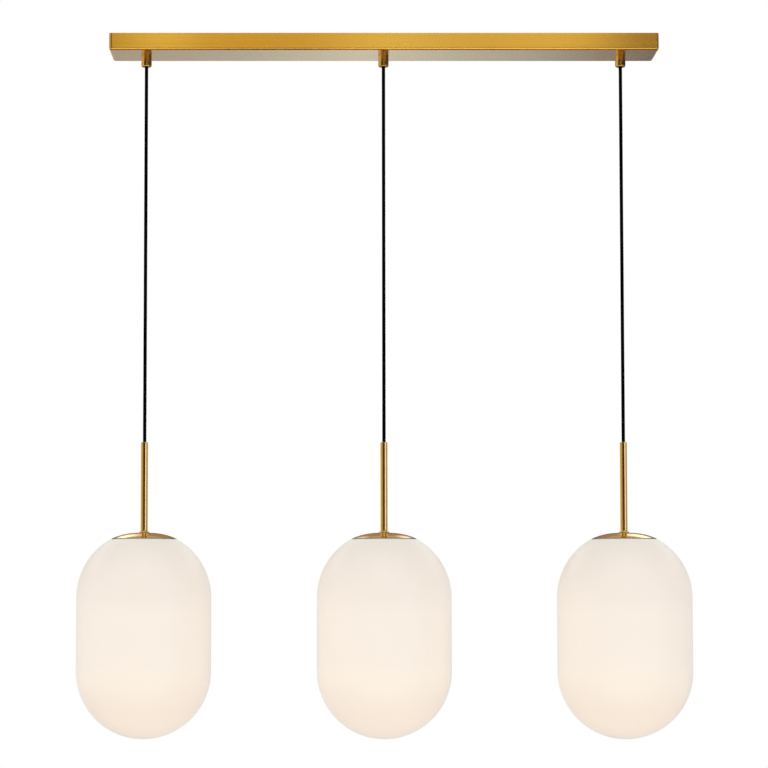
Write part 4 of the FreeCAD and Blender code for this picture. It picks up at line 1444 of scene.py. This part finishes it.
def lightWorld():
    world = bpy.data.worlds.new("studioWorld")
    world.use_nodes = True
    tree = world.node_tree
    tree.nodes.clear()
    light = addNode(tree, "ShaderNodeBackground", {"Color": (1, 1, 1, 1),
                                                   "Strength": studio["worldLight"]})
    white = addNode(tree, "ShaderNodeBackground", {"Color": (1, 1, 1, 1),
                                                   "Strength": studio["worldWhite"]})
    both = addNode(tree, "ShaderNodeMixShader", {0: seenOrReflected(tree), 1: light.outputs[0],
                                                 2: white.outputs[0]})
    out = addNode(tree, "ShaderNodeOutputWorld", {"Surface": both.outputs[0]})
    out.is_active_output = True
    bpy.context.scene.world = world


def hangLamp(name, place, size, power, colour):
    data = bpy.data.lights.new(name, "AREA")
    data.shape = "SQUARE"
    data.size = size
    data.energy = power
    data.color = colour
    lamp = linkObject(name, data)
    lamp.location = place
    way = np.array(studio["aim"]) - np.array(place)
    lamp.rotation_euler = (math.atan2(math.hypot(way[0], way[1]), -way[2]), 0,
                           math.atan2(way[1], way[0]) - math.pi / 2)
    lamp.visible_camera = False
    lamp.visible_glossy = False   # the boards shape what the brass mirrors


# a board on a great sphere round the light: x = d cos e sin a, y = -d cos e cos a, z = d sin e
def skyBoardPoints(azimuths, elevations):
    azimuth = np.radians(np.linspace(*azimuths, studio["boardColumns"]))
    elevation = np.radians(np.linspace(*elevations, studio["boardRows"]))
    elevation, azimuth = np.meshgrid(elevation, azimuth, indexing="ij")
    distance = studio["boardDistance"]
    return np.stack([distance * np.cos(elevation) * np.sin(azimuth),
                     -distance * np.cos(elevation) * np.cos(azimuth),
                     distance * np.sin(elevation) + studio["aim"][2]], -1)


# a flat board between four corners, from the first edge to the last
def nearBoardPoints(corners):
    first, second, third, fourth = np.array(corners, float)
    across = np.linspace(0, 1, studio["boardColumns"])[None, :, None]
    up = np.linspace(0, 1, studio["boardRows"])[:, None, None]
    front, back = first + (second - first) * across, fourth + (third - fourth) * across
    return (1 - up) * front + up * back


# the board's brightness runs along its map from side to side
def standBoard(name, points, brightness, tint):
    rows, columns = points.shape[:2]
    quads = gridFaces(rows, columns, False, False)
    share = np.stack(np.meshgrid(np.linspace(0, 1, columns), np.linspace(0, 1, rows)), -1)
    board = addMesh("board_" + name, points.reshape(-1, 3), quads.tolist(),
                    share.reshape(-1, 2)[quads].reshape(-1, 2))
    material, tree, surface = newFinish("board_" + name, colour=(0, 0, 0, 1), specular=0.0,
                                        roughness=1.0, glowColour=tint + (1,))
    strongest = max(step[1] for step in brightness)
    surface.inputs["Emission Strength"].default_value = strongest
    if len(brightness) > 1:
        parts = addNode(tree, "ShaderNodeSeparateXYZ", {"Vector": uvPoint(tree)})
        ramp = addNode(tree, "ShaderNodeValToRGB", {"Fac": parts.outputs["X"]})
        steps = ramp.color_ramp.elements
        steps[0].position, steps[1].position = brightness[0][0], brightness[-1][0]
        for place, *_ in brightness[1:-1]:
            steps.new(place)
        for step, (_, value, *own) in zip(steps, brightness):
            step.color = [channel * value / strongest for channel in (own or [tint])[0]] + [1]
        tree.links.new(ramp.outputs["Color"], surface.inputs["Emission Color"])
    material.cycles.emission_sampling = "NONE"   # found by mirrored rays alone
    board.data.materials.append(material)
    board.visible_camera = False
    board.visible_diffuse = False
    board.visible_transmission = False
    board.visible_shadow = False


layFloor()
lightWorld()
hangLamp("keyLamp", studio["keyPlace"], studio["keySize"], studio["keyPower"], (1, 0.98, 0.95))
hangLamp("fillLamp", studio["fillPlace"], studio["fillSize"], studio["fillPower"], (1, 0.99, 0.97))
for name, (azimuths, elevations, brightness, tint) in skyBoards.items():
    standBoard(name, skyBoardPoints(azimuths, elevations), brightness, tint)
for name, (corners, brightness, tint) in nearBoards.items():
    standBoard(name, nearBoardPoints(corners), brightness, tint)
print("studio lit")
